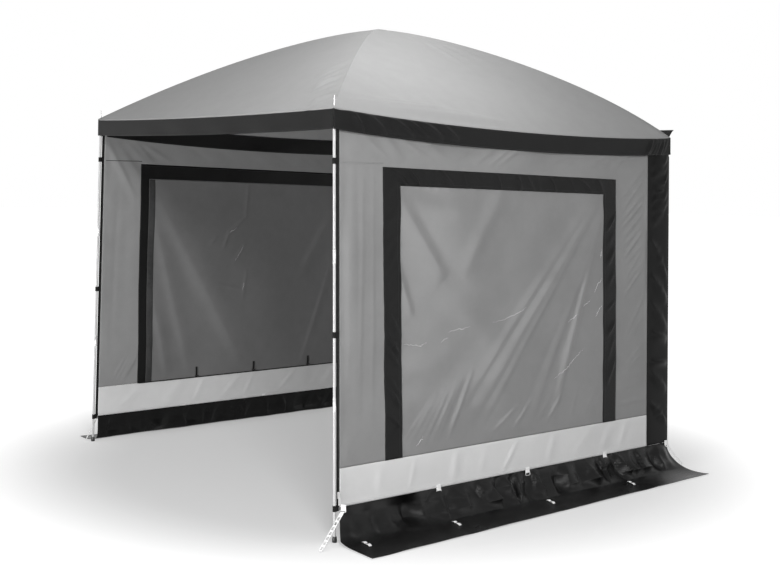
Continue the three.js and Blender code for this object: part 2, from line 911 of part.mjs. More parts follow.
function skirtSurface(side, u, v) {
  const sizes = skirtSizes[side > 0 ? 'right' : 'left'];
  const [outFront, fallFront] = alongShares(sizes.front, v);
  const [outRear, fallRear] = alongShares(sizes.rear, v);
  const fall = THREE.MathUtils.lerp(fallFront, fallRear, u);
  const outShare = THREE.MathUtils.lerp(outFront, outRear, u);
  const out = outShare * THREE.MathUtils.lerp(sizes.spread, sizes.rearSpread, u);
  const forwards = Math.min(1, out / skirtFrontRun);
  const front = THREE.MathUtils.lerp(wallFront(groundBottom), legFootFrontY - skirtFrontReach, forwards);
  const y = front + (sealRear - front) * u;
  const phase = (y / skirtFoldLength + v / 3) * 2 * Math.PI;
  const second = (y / skirtSecondFoldLength - v / 2) * 2 * Math.PI;
  const wave = (3 + 2 * Math.sin(phase) + Math.sin(second)) / 6;
  const free = Math.min(1, Math.max(0, v - straightShare) * 3) * foldFreedom(y);
  const fold = skirtFoldHeight * wave * free * (1 - edgeFlatShare * v ** 3);
  const floor = skirtFloorGap + skirtThickness;
  const z = floor + (groundBandBottom - seamGap - floor) * fall;
  return new THREE.Vector3(
    side * (wallX(z) + half - stitchLap - seamGap + out + fold * fall),
    y + skirtRearTail * u ** 8 * outShare,
    z + fold * (1 - fall),
  );
}

// A point off the skirt's outer face, along the way the cloth faces there.
function skirtPoint(side, u, v, outwards) {
  const step = 1e-3;
  const point = skirtSurface(side, u, v);
  const along = skirtSurface(side, u + step, v).sub(point);
  const lower = Math.min(v + step, 1);
  const down = skirtSurface(side, u, lower).sub(skirtSurface(side, u, lower - step));
  const normal = along.cross(down).normalize();
  if (normal.z + side * normal.x < 0) normal.negate();
  return point.addScaledVector(normal, outwards);
}

function skirt(side) {
  const cloth = sheet(32, 8, (u, v) => skirtPoint(side, u, v, 0),
    (u, v) => skirtPoint(side, u, v, -skirtThickness));
  return joined([cloth, ...loopPlaces.map((y) => pegLoop(side, y))]);
}

// A peg loop is sewn on the spread cloth and points outwards.
function pegLoop(side, y) {
  const front = legFootFrontY - skirtFrontReach;
  const place = (u) => (y + loopWidth * u - front) / (sealRear - front);
  const share = (v) => THREE.MathUtils.lerp(loopStartShare, loopEndShare, v);
  return sheet(1, 5, (u, v) => skirtPoint(side, place(u), share(v), loopThickness),
    (u, v) => skirtPoint(side, place(u), share(v), -stitchLap));
}

// Webbing tabs below the seam, each folded round the bar of a ring or a ladder strap

// Profile of a tab: depth outwards and height from its bore.
function tabGeometry(width) {
  const shape = new THREE.Shape();
  const plateIn = -tabBulbRadius;
  const plateOut = plateIn + strapLoopWall;
  shape.moveTo(plateIn, tabDrop);
  shape.lineTo(plateIn, 0);
  shape.absarc(0, 0, tabBulbRadius, Math.PI, 2 * Math.PI + Math.PI * 0.62, false);
  shape.lineTo(plateOut, tabBulbRadius * 1.6);
  shape.lineTo(plateOut, tabDrop);
  shape.closePath();
  const bore = new THREE.Path();
  bore.absarc(0, 0, tabBoreRadius, 0, 2 * Math.PI, true);
  shape.holes.push(bore);
  const geometry = new THREE.ExtrudeGeometry(shape, {
    depth: width, bevelEnabled: false, curveSegments: 4,
  });
  geometry.rotateX(Math.PI / 2);
  geometry.translate(0, width / 2, 0);
  return bare(geometry);
}

const tabDepth = half - stitchLap + tabBulbRadius;
const tabBoreHeight = groundBottom + tabLap - tabDrop;

function placeOnWall(geometry, side, y) {
  if (side < 0) geometry.rotateZ(Math.PI);
  return geometry.translate(side * tabDepth, y, tabBoreHeight);
}

function wallRing(side, y) {
  const w = ringInnerWidth / 2 + ringWire;
  const low = -(ringInnerDrop + 2 * ringWire);
  const reach = ringWire;
  const sidesOfRing = [
    [[-w - reach, 0], [w + reach, 0]],
    [[-w - reach, low], [w + reach, low]],
    [[-w, reach], [-w, low - reach]],
    [[w, reach], [w, low - reach]],
  ];
  return placeOnWall(joined(sidesOfRing.map(([a, b]) => bar([
    new THREE.Vector3(0, ...a),
    new THREE.Vector3(0, ...b),
  ], ringWire, wireSides))), side, y);
}

// Ladder straps at the corners: a strip with slots that runs down to a peg in the ground

const ladderSizes = {
  front_right: { length: ladderLengthFrontRight, heading: -ladderHeadingFront, tip: ladderFrontTip },
  front_left: { length: ladderLengthFrontLeft, heading: -ladderHeadingFront, tip: ladderFrontTip },
  rear_right: { length: ladderLengthRear, heading: 0, tip: ladderRearTip },
  rear_left: { length: ladderLengthRear, heading: 0, tip: ladderRearTip },
};
const hookReach = tabWidth / 2 + ringWire * 2;

// Where a ladder hangs in the plane of its wall, and the turn of its heading.
function ladderFrame(name) {
  const corner = corners[name];
  const { length, heading, tip } = ladderSizes[name];
  const turn = (heading * Math.PI) / 180;
  const clear = hookReach * Math.abs(Math.sin(turn)) + ringWire + seamGap * 2;
  const depth = corner.front ? half + clear : sealThickness / 2 + tabBulbRadius - stitchLap;
  const along = corner.front ? wallFront(groundBottom) + tabBulbRadius * 2 : sealRear - hookReach;
  return { side: corner.sx, turn, length, tip, depth, along };
}

// Turns a piece whose +X is its heading and moves it to its place at the corner.
function placeAtCorner(geometry, frame) {
  geometry.rotateZ(frame.side > 0 ? frame.turn : Math.PI - frame.turn);
  return geometry.translate(frame.side * frame.depth, frame.along, tabBoreHeight);
}

function ladderStrap(name) {
  const frame = ladderFrame(name);
  const { length } = frame;
  const height = tabBoreHeight * Math.cos(tilt) + frame.depth * Math.sin(tilt);
  const fall = Math.asin((height - frame.tip) / length) + tilt * Math.cos(frame.turn);
  const shape = new THREE.Shape();
  const w = ladderWidth / 2;
  const start = tabBulbRadius + ringWire;
  shape.moveTo(start, -w);
  shape.lineTo(length - w, -w);
  shape.absarc(length - w, 0, w, -Math.PI / 2, Math.PI / 2, false);
  shape.lineTo(start, w);
  shape.closePath();
  const strip = new THREE.ExtrudeGeometry(shape, {
    depth: ladderThickness, bevelEnabled: false, curveSegments: 5,
  });
  const slots = [];
  for (let i = 0; i < ladderSlotCount; i += 1) {
    const centre = length - w - ladderSlotLength / 2 + ladderThickness - i * ladderSlotPitch;
    slots.push(box(centre - ladderSlotLength / 2, centre + ladderSlotLength / 2,
      -ladderSlotWidth / 2, ladderSlotWidth / 2, -ladderThickness, ladderThickness));
  }
  const body = cut(bare(strip).translate(0, 0, -ladderThickness / 2), slots);
  const reach = hookReach;
  const hook = [
    bar([new THREE.Vector3(0, -reach, 0), new THREE.Vector3(0, reach, 0)], ringWire, wireSides),
    ...[-1, 1].map((end) => box(-ringWire, start + ringWire,
      end > 0 ? reach - ringWire * 2 : -reach, end > 0 ? reach : -reach + ringWire * 2,
      -ladderThickness / 2, ladderThickness / 2)),
    box(start, start + ringWire * 2, -reach, reach, -ladderThickness / 2, ladderThickness / 2),
  ];
  const whole = joined([body, ...hook]);
  whole.rotateY(fall);
  return placeAtCorner(whole, frame);
}

// A tab whose ladder is turned away from the wall has a tongue that is sewn to the wall.
function cornerTab(name) {
  const frame = ladderFrame(name);
  const tab = tabGeometry(tabWidth);
  if (frame.turn === 0) return placeAtCorner(tab, frame);
  const inner = frame.side * Math.sign(frame.turn);
  const reach = (frame.depth - half + stitchLap) / Math.abs(Math.sin(frame.turn)) + tabBulbRadius / 2;
  const tongue = [inner * (tabWidth / 2 - stitchLap), inner * reach].sort((a, b) => a - b);
  return placeAtCorner(joined([
    tab,
    box(-tabBulbRadius, -tabBulbRadius + strapLoopWall, ...tongue, tabDrop - tabLap + seamGap * 2, tabDrop),
  ]), frame);
}

// Toggles hang inside at the sill and hold the blind when it is down.
function toggles(side) {
  return togglePlaces.map((y) => {
    const high = groundTop - toggleDropBelowSill;
    const near = half - stitchLap;
    const strap = [-side * near, -side * (near + bandCloth)].sort((a, b) => a - b);
    const n = near + bandCloth + toggleBarRadius - seamGap;
    return joined([
      box(...strap, y - toggleStrapWidth / 2, y + toggleStrapWidth / 2, high - toggleStrapTall, high),
      bar([
        new THREE.Vector3(-side * n, y - toggleBarLength / 2, high - toggleStrapTall / 2),
        new THREE.Vector3(-side * n, y + toggleBarLength / 2, high - toggleStrapTall / 2),
      ], toggleBarRadius, wireSides),
    ]);
  });
}

// Building the frame
addPiece('roof_hub', roofHub(), blackNylon);
for (const [name, corner] of Object.entries(corners)) {
  addPiece(`roof_pole_${name}`, roofPole(corner), fibreRod);
  addPiece(`corner_joint_${name}`, cornerJoint(corner), blackNylon);
  for (const [part, length] of Object.entries(legLengths(corner))) {
    addPiece(`${part}_${name}`, length, fibreRod);
  }
  if (corner.front) {
    addPiece(`corner_pin_${name}`, cornerPin(corner), steel);
    addPiece(`foot_cap_${name}`, footCap(corner), blackNylon);
  }
}

// Building the roof
const frontCorners = Object.values(corners).filter((corner) => corner.front);
for (const [name, direction] of Object.entries(panelDirections)) {
  const holes = frontCorners.map((corner) => (
    drill(pinRadius + pinHoleClearance, eaveHeight - pinHeight, eaveHeight + pinHeight)
      .translate(corner.top.x, corner.top.y, 0)
  ));
  const panel = name === 'rear' ? roofPanel(direction) : cut(roofPanel(direction), holes);
  addPiece(`roof_panel_${name}`, panel, lightCloth);
}
addPiece('peak_cap', peakCap(), lightCloth);
addPiece('eave_band_front', endBand(-halfDepth, -halfDepth, -halfDepth + clothThickness), blackCloth);
addPiece('eave_band_rear', endBand(halfDepth, halfDepth - clothThickness, halfDepth), blackCloth);
addPiece('van_flap', joined([vanFlap(), railBead()]), blackCloth);

// Building the side walls
for (const [name, side] of Object.entries(sides)) {
  const wall = sideGroups[name];
  addPiece(`eave_band_${name}`, sideBand(side), blackCloth, wall);
  addPiece(`side_wall_${name}`, sideWall(), wallCloth, wall);
  addPiece(`window_surround_${name}`, windowSurround(side), blackCloth, wall);
  addPiece(`window_pane_${name}`, windowPane(), clearSheet, wall);
  addPiece(`window_blind_${name}`, windowBlind(side), blindCloth, wall);
  addPiece(`ground_band_${name}`, groundBand(side, name), paleCloth, wall);
  addPiece(`van_seal_${name}`, vanSeal(side, name), blackCloth, wall);
  addPiece(`zip_tape_${name}`, zipTape(side), blackCloth, wall);
  addPiece(`zip_slider_${name}`, zipSlider(side), steel, wall);
  tabPlaces.forEach((y, i) => {
    addPiece(`ring_${ringNames[i]}_${name}`, wallRing(side, y), steel, wall);
  });
  for (const end of ['front', 'rear']) {
    addPiece(`ladder_${end}_${name}`, ladderStrap(`${end}_${name}`), whiteNylon, wall);
  }
  addPiece(`skirt_${name}`, skirt(side), skirtCloth);
}

// The origin is the middle of the whole outline on the ground
const outline = new THREE.Box3().setFromObject(awning);
const middle = outline.getCenter(new THREE.Vector3());
awning.position.set(-middle.x, -middle.y, -outline.min.z);

export default awning;
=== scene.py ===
# %% [markdown]
# A square van awning with a domed roof, in Blender
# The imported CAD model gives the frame: where every piece is and how it moves. This lesson
# makes the surfaces that are seen: cloth, clear sheet, webbing, rods and small fittings.
# Every surface is a formula on a grid of numpy points, so a change of one value moves it all.

# %% Load the frame
from math import atan2, cos, pi, radians, sin

import bpy
import numpy as np
from mathutils import Matrix, Vector


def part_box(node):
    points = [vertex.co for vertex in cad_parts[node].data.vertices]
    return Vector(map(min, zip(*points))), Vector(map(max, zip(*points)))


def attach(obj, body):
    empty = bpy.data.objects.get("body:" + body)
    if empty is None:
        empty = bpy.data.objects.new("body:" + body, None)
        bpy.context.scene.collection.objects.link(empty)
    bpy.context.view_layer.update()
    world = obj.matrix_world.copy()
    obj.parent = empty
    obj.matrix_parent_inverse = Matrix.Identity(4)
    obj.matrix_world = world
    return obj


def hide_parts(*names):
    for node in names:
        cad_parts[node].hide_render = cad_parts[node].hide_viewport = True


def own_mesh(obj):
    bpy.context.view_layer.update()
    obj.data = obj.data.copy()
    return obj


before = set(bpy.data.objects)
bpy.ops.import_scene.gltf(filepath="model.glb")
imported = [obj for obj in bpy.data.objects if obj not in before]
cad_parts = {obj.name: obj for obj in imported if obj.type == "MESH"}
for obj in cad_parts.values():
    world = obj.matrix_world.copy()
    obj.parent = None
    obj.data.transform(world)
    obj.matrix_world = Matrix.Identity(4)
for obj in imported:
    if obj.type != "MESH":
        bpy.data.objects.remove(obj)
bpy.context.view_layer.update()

BODY = "awning"
SIDES = {"right": 1.0, "left": -1.0}

# %% [markdown]
# The awning is drawn about its own middle: x to the right along the van, y towards the van.
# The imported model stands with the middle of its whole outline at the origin, and the skirts
# and straps reach further on one side, so the awning's middle is a little off it. The eave
# bands are the same on both sides, so the middle between them gives that small shift.

# %% Where the awning's middle is
middle_x = (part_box("eave_band_right")[1][0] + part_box("eave_band_left")[0][0]) / 2
middle_y = (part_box("eave_band_rear")[1][1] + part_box("eave_band_front")[0][1]) / 2
CENTRE = np.array([middle_x, middle_y, 0.0])
print("middle of the awning:", CENTRE.round(4))

# %% [markdown]
# These are the sizes that drive the formulas below. HALF is half of the square plan, and EAVE
# and PEAK are heights above the ground. From the eave to the ground the walls splay outwards
# by SIDE_SPLAY and the front legs forwards by FRONT_SPLAY. The roof's panels sag between the
# ridges, more at the sides than at the front and rear.

# %% Sizes of the awning, in metres
HALF = 1.135
EAVE = 1.880
PEAK = 2.390
REAR_DROP = 0.058
OVERHANG = 0.012
SIDE_SPLAY = 0.079
FRONT_SPLAY = 0.026
SIDE_SAG = 0.038
END_SAG = 0.013
WALL_TOP_HALF = HALF - OVERHANG
WALL_FOOT_HALF = WALL_TOP_HALF + SIDE_SPLAY
TILT = atan2(SIDE_SPLAY, EAVE)
ROOF_CLOTH = 0.0024

# %% [markdown]
# The camera comes first, because it decides what the picture shows. Its place, its aim and
# its slight roll follow from the awning's corners in the photograph, seen with a lens of
# 55.5 mm on a 36 mm sensor.

# %% Camera
EYE = np.array([5.3049, -4.1905, 1.6044])
YAW, PITCH, ROLL = radians(-50.955), radians(-5.675), radians(1.014)
LENS = 55.5

ahead = Vector((sin(YAW) * cos(PITCH), cos(YAW) * cos(PITCH), sin(PITCH)))
level = Vector((cos(YAW), -sin(YAW), 0))
upright = level.cross(ahead)
right_hand = cos(ROLL) * level + sin(ROLL) * upright
overhead = -sin(ROLL) * level + cos(ROLL) * upright

camera = bpy.data.objects.new("camera", bpy.data.cameras.new("camera"))
bpy.context.collection.objects.link(camera)
camera.data.sensor_width = 36
camera.data.lens = LENS
camera.data.clip_end = 100
turn = Matrix((right_hand, overhead, -ahead)).transposed().to_4x4()
camera.matrix_world = Matrix.Translation(Vector(EYE + CENTRE)) @ turn
bpy.context.scene.camera = camera
bpy.context.scene.view_settings.view_transform = "Standard"
print("camera at", (EYE + CENTRE).round(3))

# %% [markdown]
# Two formulas carry the whole awning. The first is the roof: its height falls from the peak
# as a power of the reach, which is 0 at the peak and 1 at the eaves, so level lines are
# squares with their corners on the ridges. The second is the side wall: a plane that leans
# outwards to the ground, with a place given by y along it, h up its slope and its depth
# outwards.

# %% The roof and wall formulas
def roof_height(x, y):
    """Peak less a power of the reach, less the drop towards the van and the sag of the panels."""
    reach_x = np.abs(x) / HALF
    reach_y = np.abs(y) / HALF
    reach = np.maximum(np.maximum(reach_x, reach_y), 1e-6)
    on_side = reach_x >= reach_y
    across = np.where(on_side, y, x) / (reach * HALF)
    towards_van = (y / (reach * HALF) + 1) / 2
    sag = np.where(on_side, SIDE_SAG, END_SAG) * reach ** 2
    slack = np.clip(1 - across ** 2, 0, None) ** 0.8
    fall = (PEAK - EAVE) * reach ** 1.47
    return PEAK - fall - REAR_DROP * towards_van * reach ** 6 - sag * slack


def points_of(x, y, z):
    """Stacks three arrays of one shape into points, about the awning's middle."""
    x, y, z = np.broadcast_arrays(x, y, z)
    return np.stack([x, y, z], -1) + CENTRE


def wall_points(side, y, h, depth=0.0):
    """Turns wall places into points: x shrinks as h rises, z grows with it, by the wall's lean."""
    x = side * (WALL_FOOT_HALF + depth * cos(TILT) - h * sin(TILT))
    return points_of(x, y, h * cos(TILT) + depth * sin(TILT))


def up_slope(height):
    """Slope height of a level height in the wall's plane."""
    return height / cos(TILT)


def wall_x(height):
    """Distance of the wall from the middle at a level height."""
    return WALL_TOP_HALF + SIDE_SPLAY * (1 - height / EAVE)


# %% [markdown]
# A surface is a grid of points. Its faces join each point to its three neighbours, and a tube
# joins its last column to its first. A mask leaves cells out, as for a window. Open cloth gets
# its thickness from a Solidify modifier, which also closes the rim of every hole.

# %% From points to pieces
SHEETS = {}


def grid_quads(rows, columns, wrap=False, keep=None, closed=False):
    """Four corners for each cell of a grid.

    wrap joins the last column to the first, and closed joins the last row to the first.
    """
    row_steps = rows if closed else rows - 1
    column_steps = columns if wrap else columns - 1
    i, j = np.meshgrid(np.arange(row_steps), np.arange(column_steps), indexing="ij")
    below, after = (i + 1) % rows, (j + 1) % columns
    corners = [i * columns + j, i * columns + after, below * columns + after, below * columns + j]
    quads = np.stack(corners, -1)
    if keep is not None:
        quads = quads[keep]
    return quads.reshape(-1, 4)


def closed_rings(rings, sides):
    """Faces of a tube: the cells between its rings, and one flat face at each end."""
    around = np.arange(sides)
    ends = [around[::-1][None], ((rings - 1) * sides + around)[None]]
    return grid_quads(rings, sides, wrap=True), ends


def unit_grid(columns, rows):
    """Two shares from 0 to 1, one across the columns and one up the rows of a grid."""
    return np.meshgrid(np.linspace(0, 1, columns), np.linspace(0, 1, rows))


def add_mesh(name, points, faces, uv=None, smooth=True):
    """Makes an object from points and faces, without the points that no face uses."""
    used = np.unique(np.concatenate([np.ravel(face) for face in faces]))
    place = np.full(len(points), -1)
    place[used] = np.arange(len(used))
    mesh = bpy.data.meshes.new(name)
    lists = []
    for group in faces:
        lists += place[np.asarray(group)].tolist()
    mesh.from_pydata(points[used].tolist(), [], lists)
    if uv is not None:
        corner = np.empty(len(mesh.loops), dtype=np.int32)
        mesh.loops.foreach_get("vertex_index", corner)
        layer = mesh.uv_layers.new(name="cloth")
        layer.data.foreach_set("uv", uv[used][corner].ravel().astype(np.float32))
    mesh.polygons.foreach_set("use_smooth", np.full(len(mesh.polygons), smooth))
    mesh.update()
    piece = bpy.data.objects.new(name, mesh)
    bpy.context.collection.objects.link(piece)
    return piece


def face_towards(quads, points, outward):
    """Turns all faces round if their mean normal looks away from the outward direction."""
    a, b, d = points[quads[:, 0]], points[quads[:, 1]], points[quads[:, 3]]
    normal = np.cross(b - a, d - a).sum(0)
    return quads if normal @ np.asarray(outward) >= 0 else quads[:, ::-1]


def fit(piece, material, body=BODY, replaces=()):
    """Gives a piece its material and the body it rides on, and hides the CAD nodes it stands for."""
    piece.data.materials.append(material)
    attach(piece, body)
    if replaces:
        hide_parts(*replaces)
    return piece


def give_thickness(piece, thickness):
    """Thickens open cloth behind its face and closes its rim."""
    solid = piece.modifiers.new("thickness", "SOLIDIFY")
    solid.thickness = thickness
    solid.offset = -1


def cut_size(points, quads):
    """Longest row and column of a grid of points, and the area of its cells: what the cloth was cut to."""
    width = np.linalg.norm(np.diff(points, axis=1), axis=2).sum(1).max()
    length = np.linalg.norm(np.diff(points, axis=0), axis=2).sum(0).max()
    a, b, c, d = (points.reshape(-1, 3)[quads[:, k]] for k in range(4))
    area = np.linalg.norm(np.cross(c - a, d - b), axis=1).sum() / 2
    return float(width), float(length), float(area)


def cloth(name, points, outward, material, thickness=0.0012, uv=None, keep=None, body=BODY, replaces=(),
          held="stretched", on=("roof_canopy",)):
    """A surface over a grid of points, with its face towards outward and its thickness behind it.

    Cloth is noted in SHEETS. A moulded strap, which isn't cloth, has held=None and is left out of it.
    """
    rows, columns = points.shape[:2]
    flat = points.reshape(-1, 3)
    quads = face_towards(grid_quads(rows, columns, keep=keep), flat, outward)
    if held:
        SHEETS[name] = (*cut_size(points, quads), held, on)
    plan = None if uv is None else np.stack(np.broadcast_arrays(*uv), -1).reshape(-1, 2)
    piece = add_mesh(name, flat, [quads], plan)
    give_thickness(piece, thickness)
    return fit(piece, material, body, replaces)


def frames_along(path):
    """Two directions square to a path at every point, carried along it so that they don't twist."""
    tangent = np.gradient(path, axis=0)
    tangent /= np.linalg.norm(tangent, axis=1, keepdims=True)
    first = np.empty_like(path)
    start = np.array([0.0, 0.0, 1.0]) if abs(tangent[0, 2]) < 0.9 else np.array([0.0, 1.0, 0.0])
    for k, along in enumerate(tangent):
        start = start - along * (start @ along)
        start /= np.linalg.norm(start)
        first[k] = start
    return first, np.cross(tangent, first)


def tube_mesh(path, radius, sides):
    """Points and faces of a round bar: circles of the radius along the path, and closed ends."""
    path = np.asarray(path, dtype=float)
    first, second = frames_along(path)
    angle = np.arange(sides) * 2 * pi / sides
    radius = np.broadcast_to(radius, len(path))[:, None, None]
    ring = first[:, None] * np.cos(angle)[None, :, None]
    ring = ring + second[:, None] * np.sin(angle)[None, :, None]
    points = (path[:, None] + ring * radius).reshape(-1, 3)
    return (points, *closed_rings(len(path), sides))


def volume_of(points, faces):
    """Volume inside a closed mesh, from the sum of its faces' cones to the origin."""
    total = 0.0
    for group in faces:
        group = np.asarray(group)
        for k in range(1, group.shape[1] - 1):
            a, b, c = points[group[:, 0]], points[group[:, k]], points[group[:, k + 1]]
            total += np.einsum("ij,ij->i", a, np.cross(b, c)).sum()
    return total / 6


def closed_piece(name, parts, material, body=BODY, replaces=(), smooth=True, bevel=0.0):
    """One object from closed meshes, each turned to face outwards."""
    points, faces, start = [], [], 0
    for part_points, *groups in parts:
        lists = [group if isinstance(group, list) else [group] for group in groups]
        groups = [np.asarray(face) for found in lists for face in found]
        if volume_of(part_points - part_points.mean(0), groups) < 0:
            groups = [group[:, ::-1] for group in groups]
        faces += [group + start for group in groups]
        points.append(part_points)
        start += len(part_points)
    piece = add_mesh(name, np.concatenate(points), faces, smooth=smooth)
    if bevel:
        round_edges = piece.modifiers.new("rounded edges", "BEVEL")
        round_edges.width = bevel
        round_edges.segments = 3
        round_edges.limit_method = "ANGLE"
    return fit(piece, material, body, replaces)


def turned(profile, sides=32, centre=(0, 0, 0), axis=(0, 0, 1)):
    """A lathe form: radii and heights along an axis, on rings closed at both ends."""
    profile = np.asarray(profile, dtype=float)
    axis = np.asarray(axis, dtype=float) / np.linalg.norm(axis)
    helper = np.array([0.0, 1.0, 0.0]) if abs(axis[1]) < 0.9 else np.array([1.0, 0.0, 0.0])
    first = np.cross(helper, axis)
    first /= np.linalg.norm(first)
    second = np.cross(axis, first)
    angle = np.arange(sides) * 2 * pi / sides
    ring = first * np.cos(angle)[:, None] + second * np.sin(angle)[:, None]
    radius = np.maximum(profile[:, 0], 1e-5)
    points = np.asarray(centre) + profile[:, 1, None, None] * axis + radius[:, None, None] * ring[None]
    return (points.reshape(-1, 3), *closed_rings(len(profile), sides))


BOX_CORNERS = np.array([[x, y, z] for z in (0, 1) for y in (0, 1) for x in (0, 1)])
BOX_FACES = np.array([[0, 2, 3, 1], [4, 5, 7, 6], [0, 1, 5, 4], [2, 6, 7, 3], [0, 4, 6, 2], [1, 3, 7, 5]])


def block(low, high, axes, origin):
    """A box between two corners, given along three axes from an origin."""
    corners = np.where(BOX_CORNERS, high, low)
    return np.asarray(origin) + corners @ np.asarray(axes), BOX_FACES


def many_blocks(centres, axes, sizes):
    """Closed boxes at many places at once: corners are centres plus signed half sizes along the axes."""
    corners = ((BOX_CORNERS - 0.5) * np.asarray(sizes)) @ np.asarray(axes)
    points = (centres[:, None] + corners[None]).reshape(-1, 3)
    return points, (BOX_FACES[None] + 8 * np.arange(len(centres))[:, None, None]).reshape(-1, 4)

# %% [markdown]
# Finishes come next. The awning is made of a few: light and mid grey coated polyester, black
# polyester, clear sheet, glass-fibre rod, metal and nylon. Effects that several of them share
# are node groups: the weave of the cloth, the slow mottling of its coating, the dust that
# settles near the ground and a row of stitches. Each group only puts out masks and heights;
# the shader itself stays in the material.

# %% Node group helpers
def new_group(name, inputs, outputs):
    """An empty shader group with named sockets; inputs gives each float's default, None for a vector."""
    group = bpy.data.node_groups.new(name, "ShaderNodeTree")
    for label, value in inputs.items():
        kind = "NodeSocketVector" if value is None else "NodeSocketFloat"
        socket = group.interface.new_socket(label, in_out="INPUT", socket_type=kind)
        if value is not None:
            socket.default_value = value
    for label in outputs:
        group.interface.new_socket(label, in_out="OUTPUT", socket_type="NodeSocketFloat")
    return group, group.nodes.new("NodeGroupInput"), group.nodes.new("NodeGroupOutput")


def math_node(tree, operation, a, b=None, clamp=False):
    """One Math node; a and b are sockets or numbers."""
    node = tree.nodes.new("ShaderNodeMath")
    node.operation = operation
    node.use_clamp = clamp
    for slot, value in enumerate((a, b)):
        if isinstance(value, (int, float)):
            node.inputs[slot].default_value = value
        elif value is not None:
            tree.links.new(value, node.inputs[slot])
    return node.outputs[0]


def noise_node(tree, vector, scale, detail=2.0, roughness=0.5):
    """Soft noise between 0 and 1 on a vector."""
    node = tree.nodes.new("ShaderNodeTexNoise")
    node.inputs["Scale"].default_value = scale
    node.inputs["Detail"].default_value = detail
    node.inputs["Roughness"].default_value = roughness
    tree.links.new(vector, node.inputs["Vector"])
    return node.outputs["Fac"]


def ramp(tree, value, low, high, start=0.0, end=1.0):
    """Maps low..high to start..end, held at both ends."""
    node = tree.nodes.new("ShaderNodeMapRange")
    node.interpolation_type = "SMOOTHSTEP"
    tree.links.new(value, node.inputs["Value"])
    for label, number in (("From Min", low), ("From Max", high), ("To Min", start), ("To Max", end)):
        node.inputs[label].default_value = number
    return node.outputs["Result"]


# %% Shared effects
def weave_group():
    """Plain weave: warp and weft are sine ridges, and a checker of the two says which is on top."""
    tree, given, out = new_group("weave", {"Vector": None, "Threads": 900.0}, ["Height", "Shade"])
    parts = tree.nodes.new("ShaderNodeSeparateXYZ")
    tree.links.new(given.outputs["Vector"], parts.inputs[0])
    waves = []
    for axis in (0, 1):
        turns = math_node(tree, "MULTIPLY", parts.outputs[axis], given.outputs["Threads"])
        waves.append(math_node(tree, "SINE", math_node(tree, "MULTIPLY", turns, pi)))
    checker = math_node(tree, "MULTIPLY", waves[0], waves[1])
    tree.links.new(math_node(tree, "ABSOLUTE", checker), out.inputs["Height"])
    half = math_node(tree, "MULTIPLY", checker, 0.5)
    tree.links.new(math_node(tree, "ADD", half, 0.5), out.inputs["Shade"])
    return tree


def mottle_group():
    """Slow uneven coating: two sizes of noise, one broad and one of hand width."""
    tree, given, out = new_group("coating mottle", {"Vector": None}, ["Shade"])
    broad = math_node(tree, "MULTIPLY", noise_node(tree, given.outputs["Vector"], 1.3, 3.0), 0.65)
    small = math_node(tree, "MULTIPLY", noise_node(tree, given.outputs["Vector"], 14.0, 3.0, 0.6), 0.35)
    tree.links.new(math_node(tree, "ADD", broad, small), out.inputs["Shade"])
    return tree


def dust_group():
    """Ground dust: strongest at the ground, gone above the reach, broken up by noise."""
    tree, given, out = new_group("ground dust", {"Vector": None, "Reach": 0.12}, ["Mask"])
    parts = tree.nodes.new("ShaderNodeSeparateXYZ")
    tree.links.new(given.outputs["Vector"], parts.inputs[0])
    rise = math_node(tree, "DIVIDE", parts.outputs[2], given.outputs["Reach"])
    low = math_node(tree, "SUBTRACT", 1.0, rise, clamp=True)
    patches = ramp(tree, noise_node(tree, given.outputs["Vector"], 23.0, 5.0, 0.65), 0.42, 0.7)
    tree.links.new(math_node(tree, "MULTIPLY", low, patches), out.inputs["Mask"])
    return tree


def stitch_group():
    """A row of stitches: dashes along the seam at a set distance across it."""
    sizes = {"Along": 0.0, "Across": 0.0, "Row": 0.006, "Pitch": 0.0045, "Width": 0.0012}
    tree, given, out = new_group("stitch row", sizes, ["Mask"])
    off = math_node(tree, "SUBTRACT", given.outputs["Across"], given.outputs["Row"])
    line = math_node(tree, "LESS_THAN", math_node(tree, "ABSOLUTE", off), given.outputs["Width"])
    turns = math_node(tree, "DIVIDE", given.outputs["Along"], given.outputs["Pitch"])
    sewn = math_node(tree, "LESS_THAN", math_node(tree, "FRACT", turns), 0.72)
    tree.links.new(math_node(tree, "MULTIPLY", line, sewn), out.inputs["Mask"])
    return tree


GROUPS = {"weave": weave_group(), "mottle": mottle_group(), "dust": dust_group(), "stitch": stitch_group()}
print("shared effects:", ", ".join(GROUPS))


# %% Material helpers
def grey(level):
    """A neutral grey from its level on screen, 0 to 255, as linear light."""
    share = level / 255
    return ((share + 0.055) / 1.055) ** 2.4 if share > 0.04045 else share / 12.92


def new_material(name, rough, metallic=0.0, **sockets):
    """A material with one Principled BSDF; sockets are plain numbers on the shader's own inputs."""
    made = bpy.data.materials.new(name)
    made.use_nodes = True
    tree = made.node_tree
    shader = tree.nodes["Principled BSDF"]
    shader.inputs["Roughness"].default_value = rough
    shader.inputs["Metallic"].default_value = metallic
    for label, value in sockets.items():
        shader.inputs[label.replace("_", " ")].default_value = value
    return made, tree, shader


def place_group(tree, key, **values):
    """Puts a shared group in a material; a value is a socket or a number."""
    node = tree.nodes.new("ShaderNodeGroup")
    node.node_tree = GROUPS[key]
    for label, value in values.items():
        if isinstance(value, (int, float)):
            node.inputs[label].default_value = value
        else:
            tree.links.new(value, node.inputs[label])
    return node


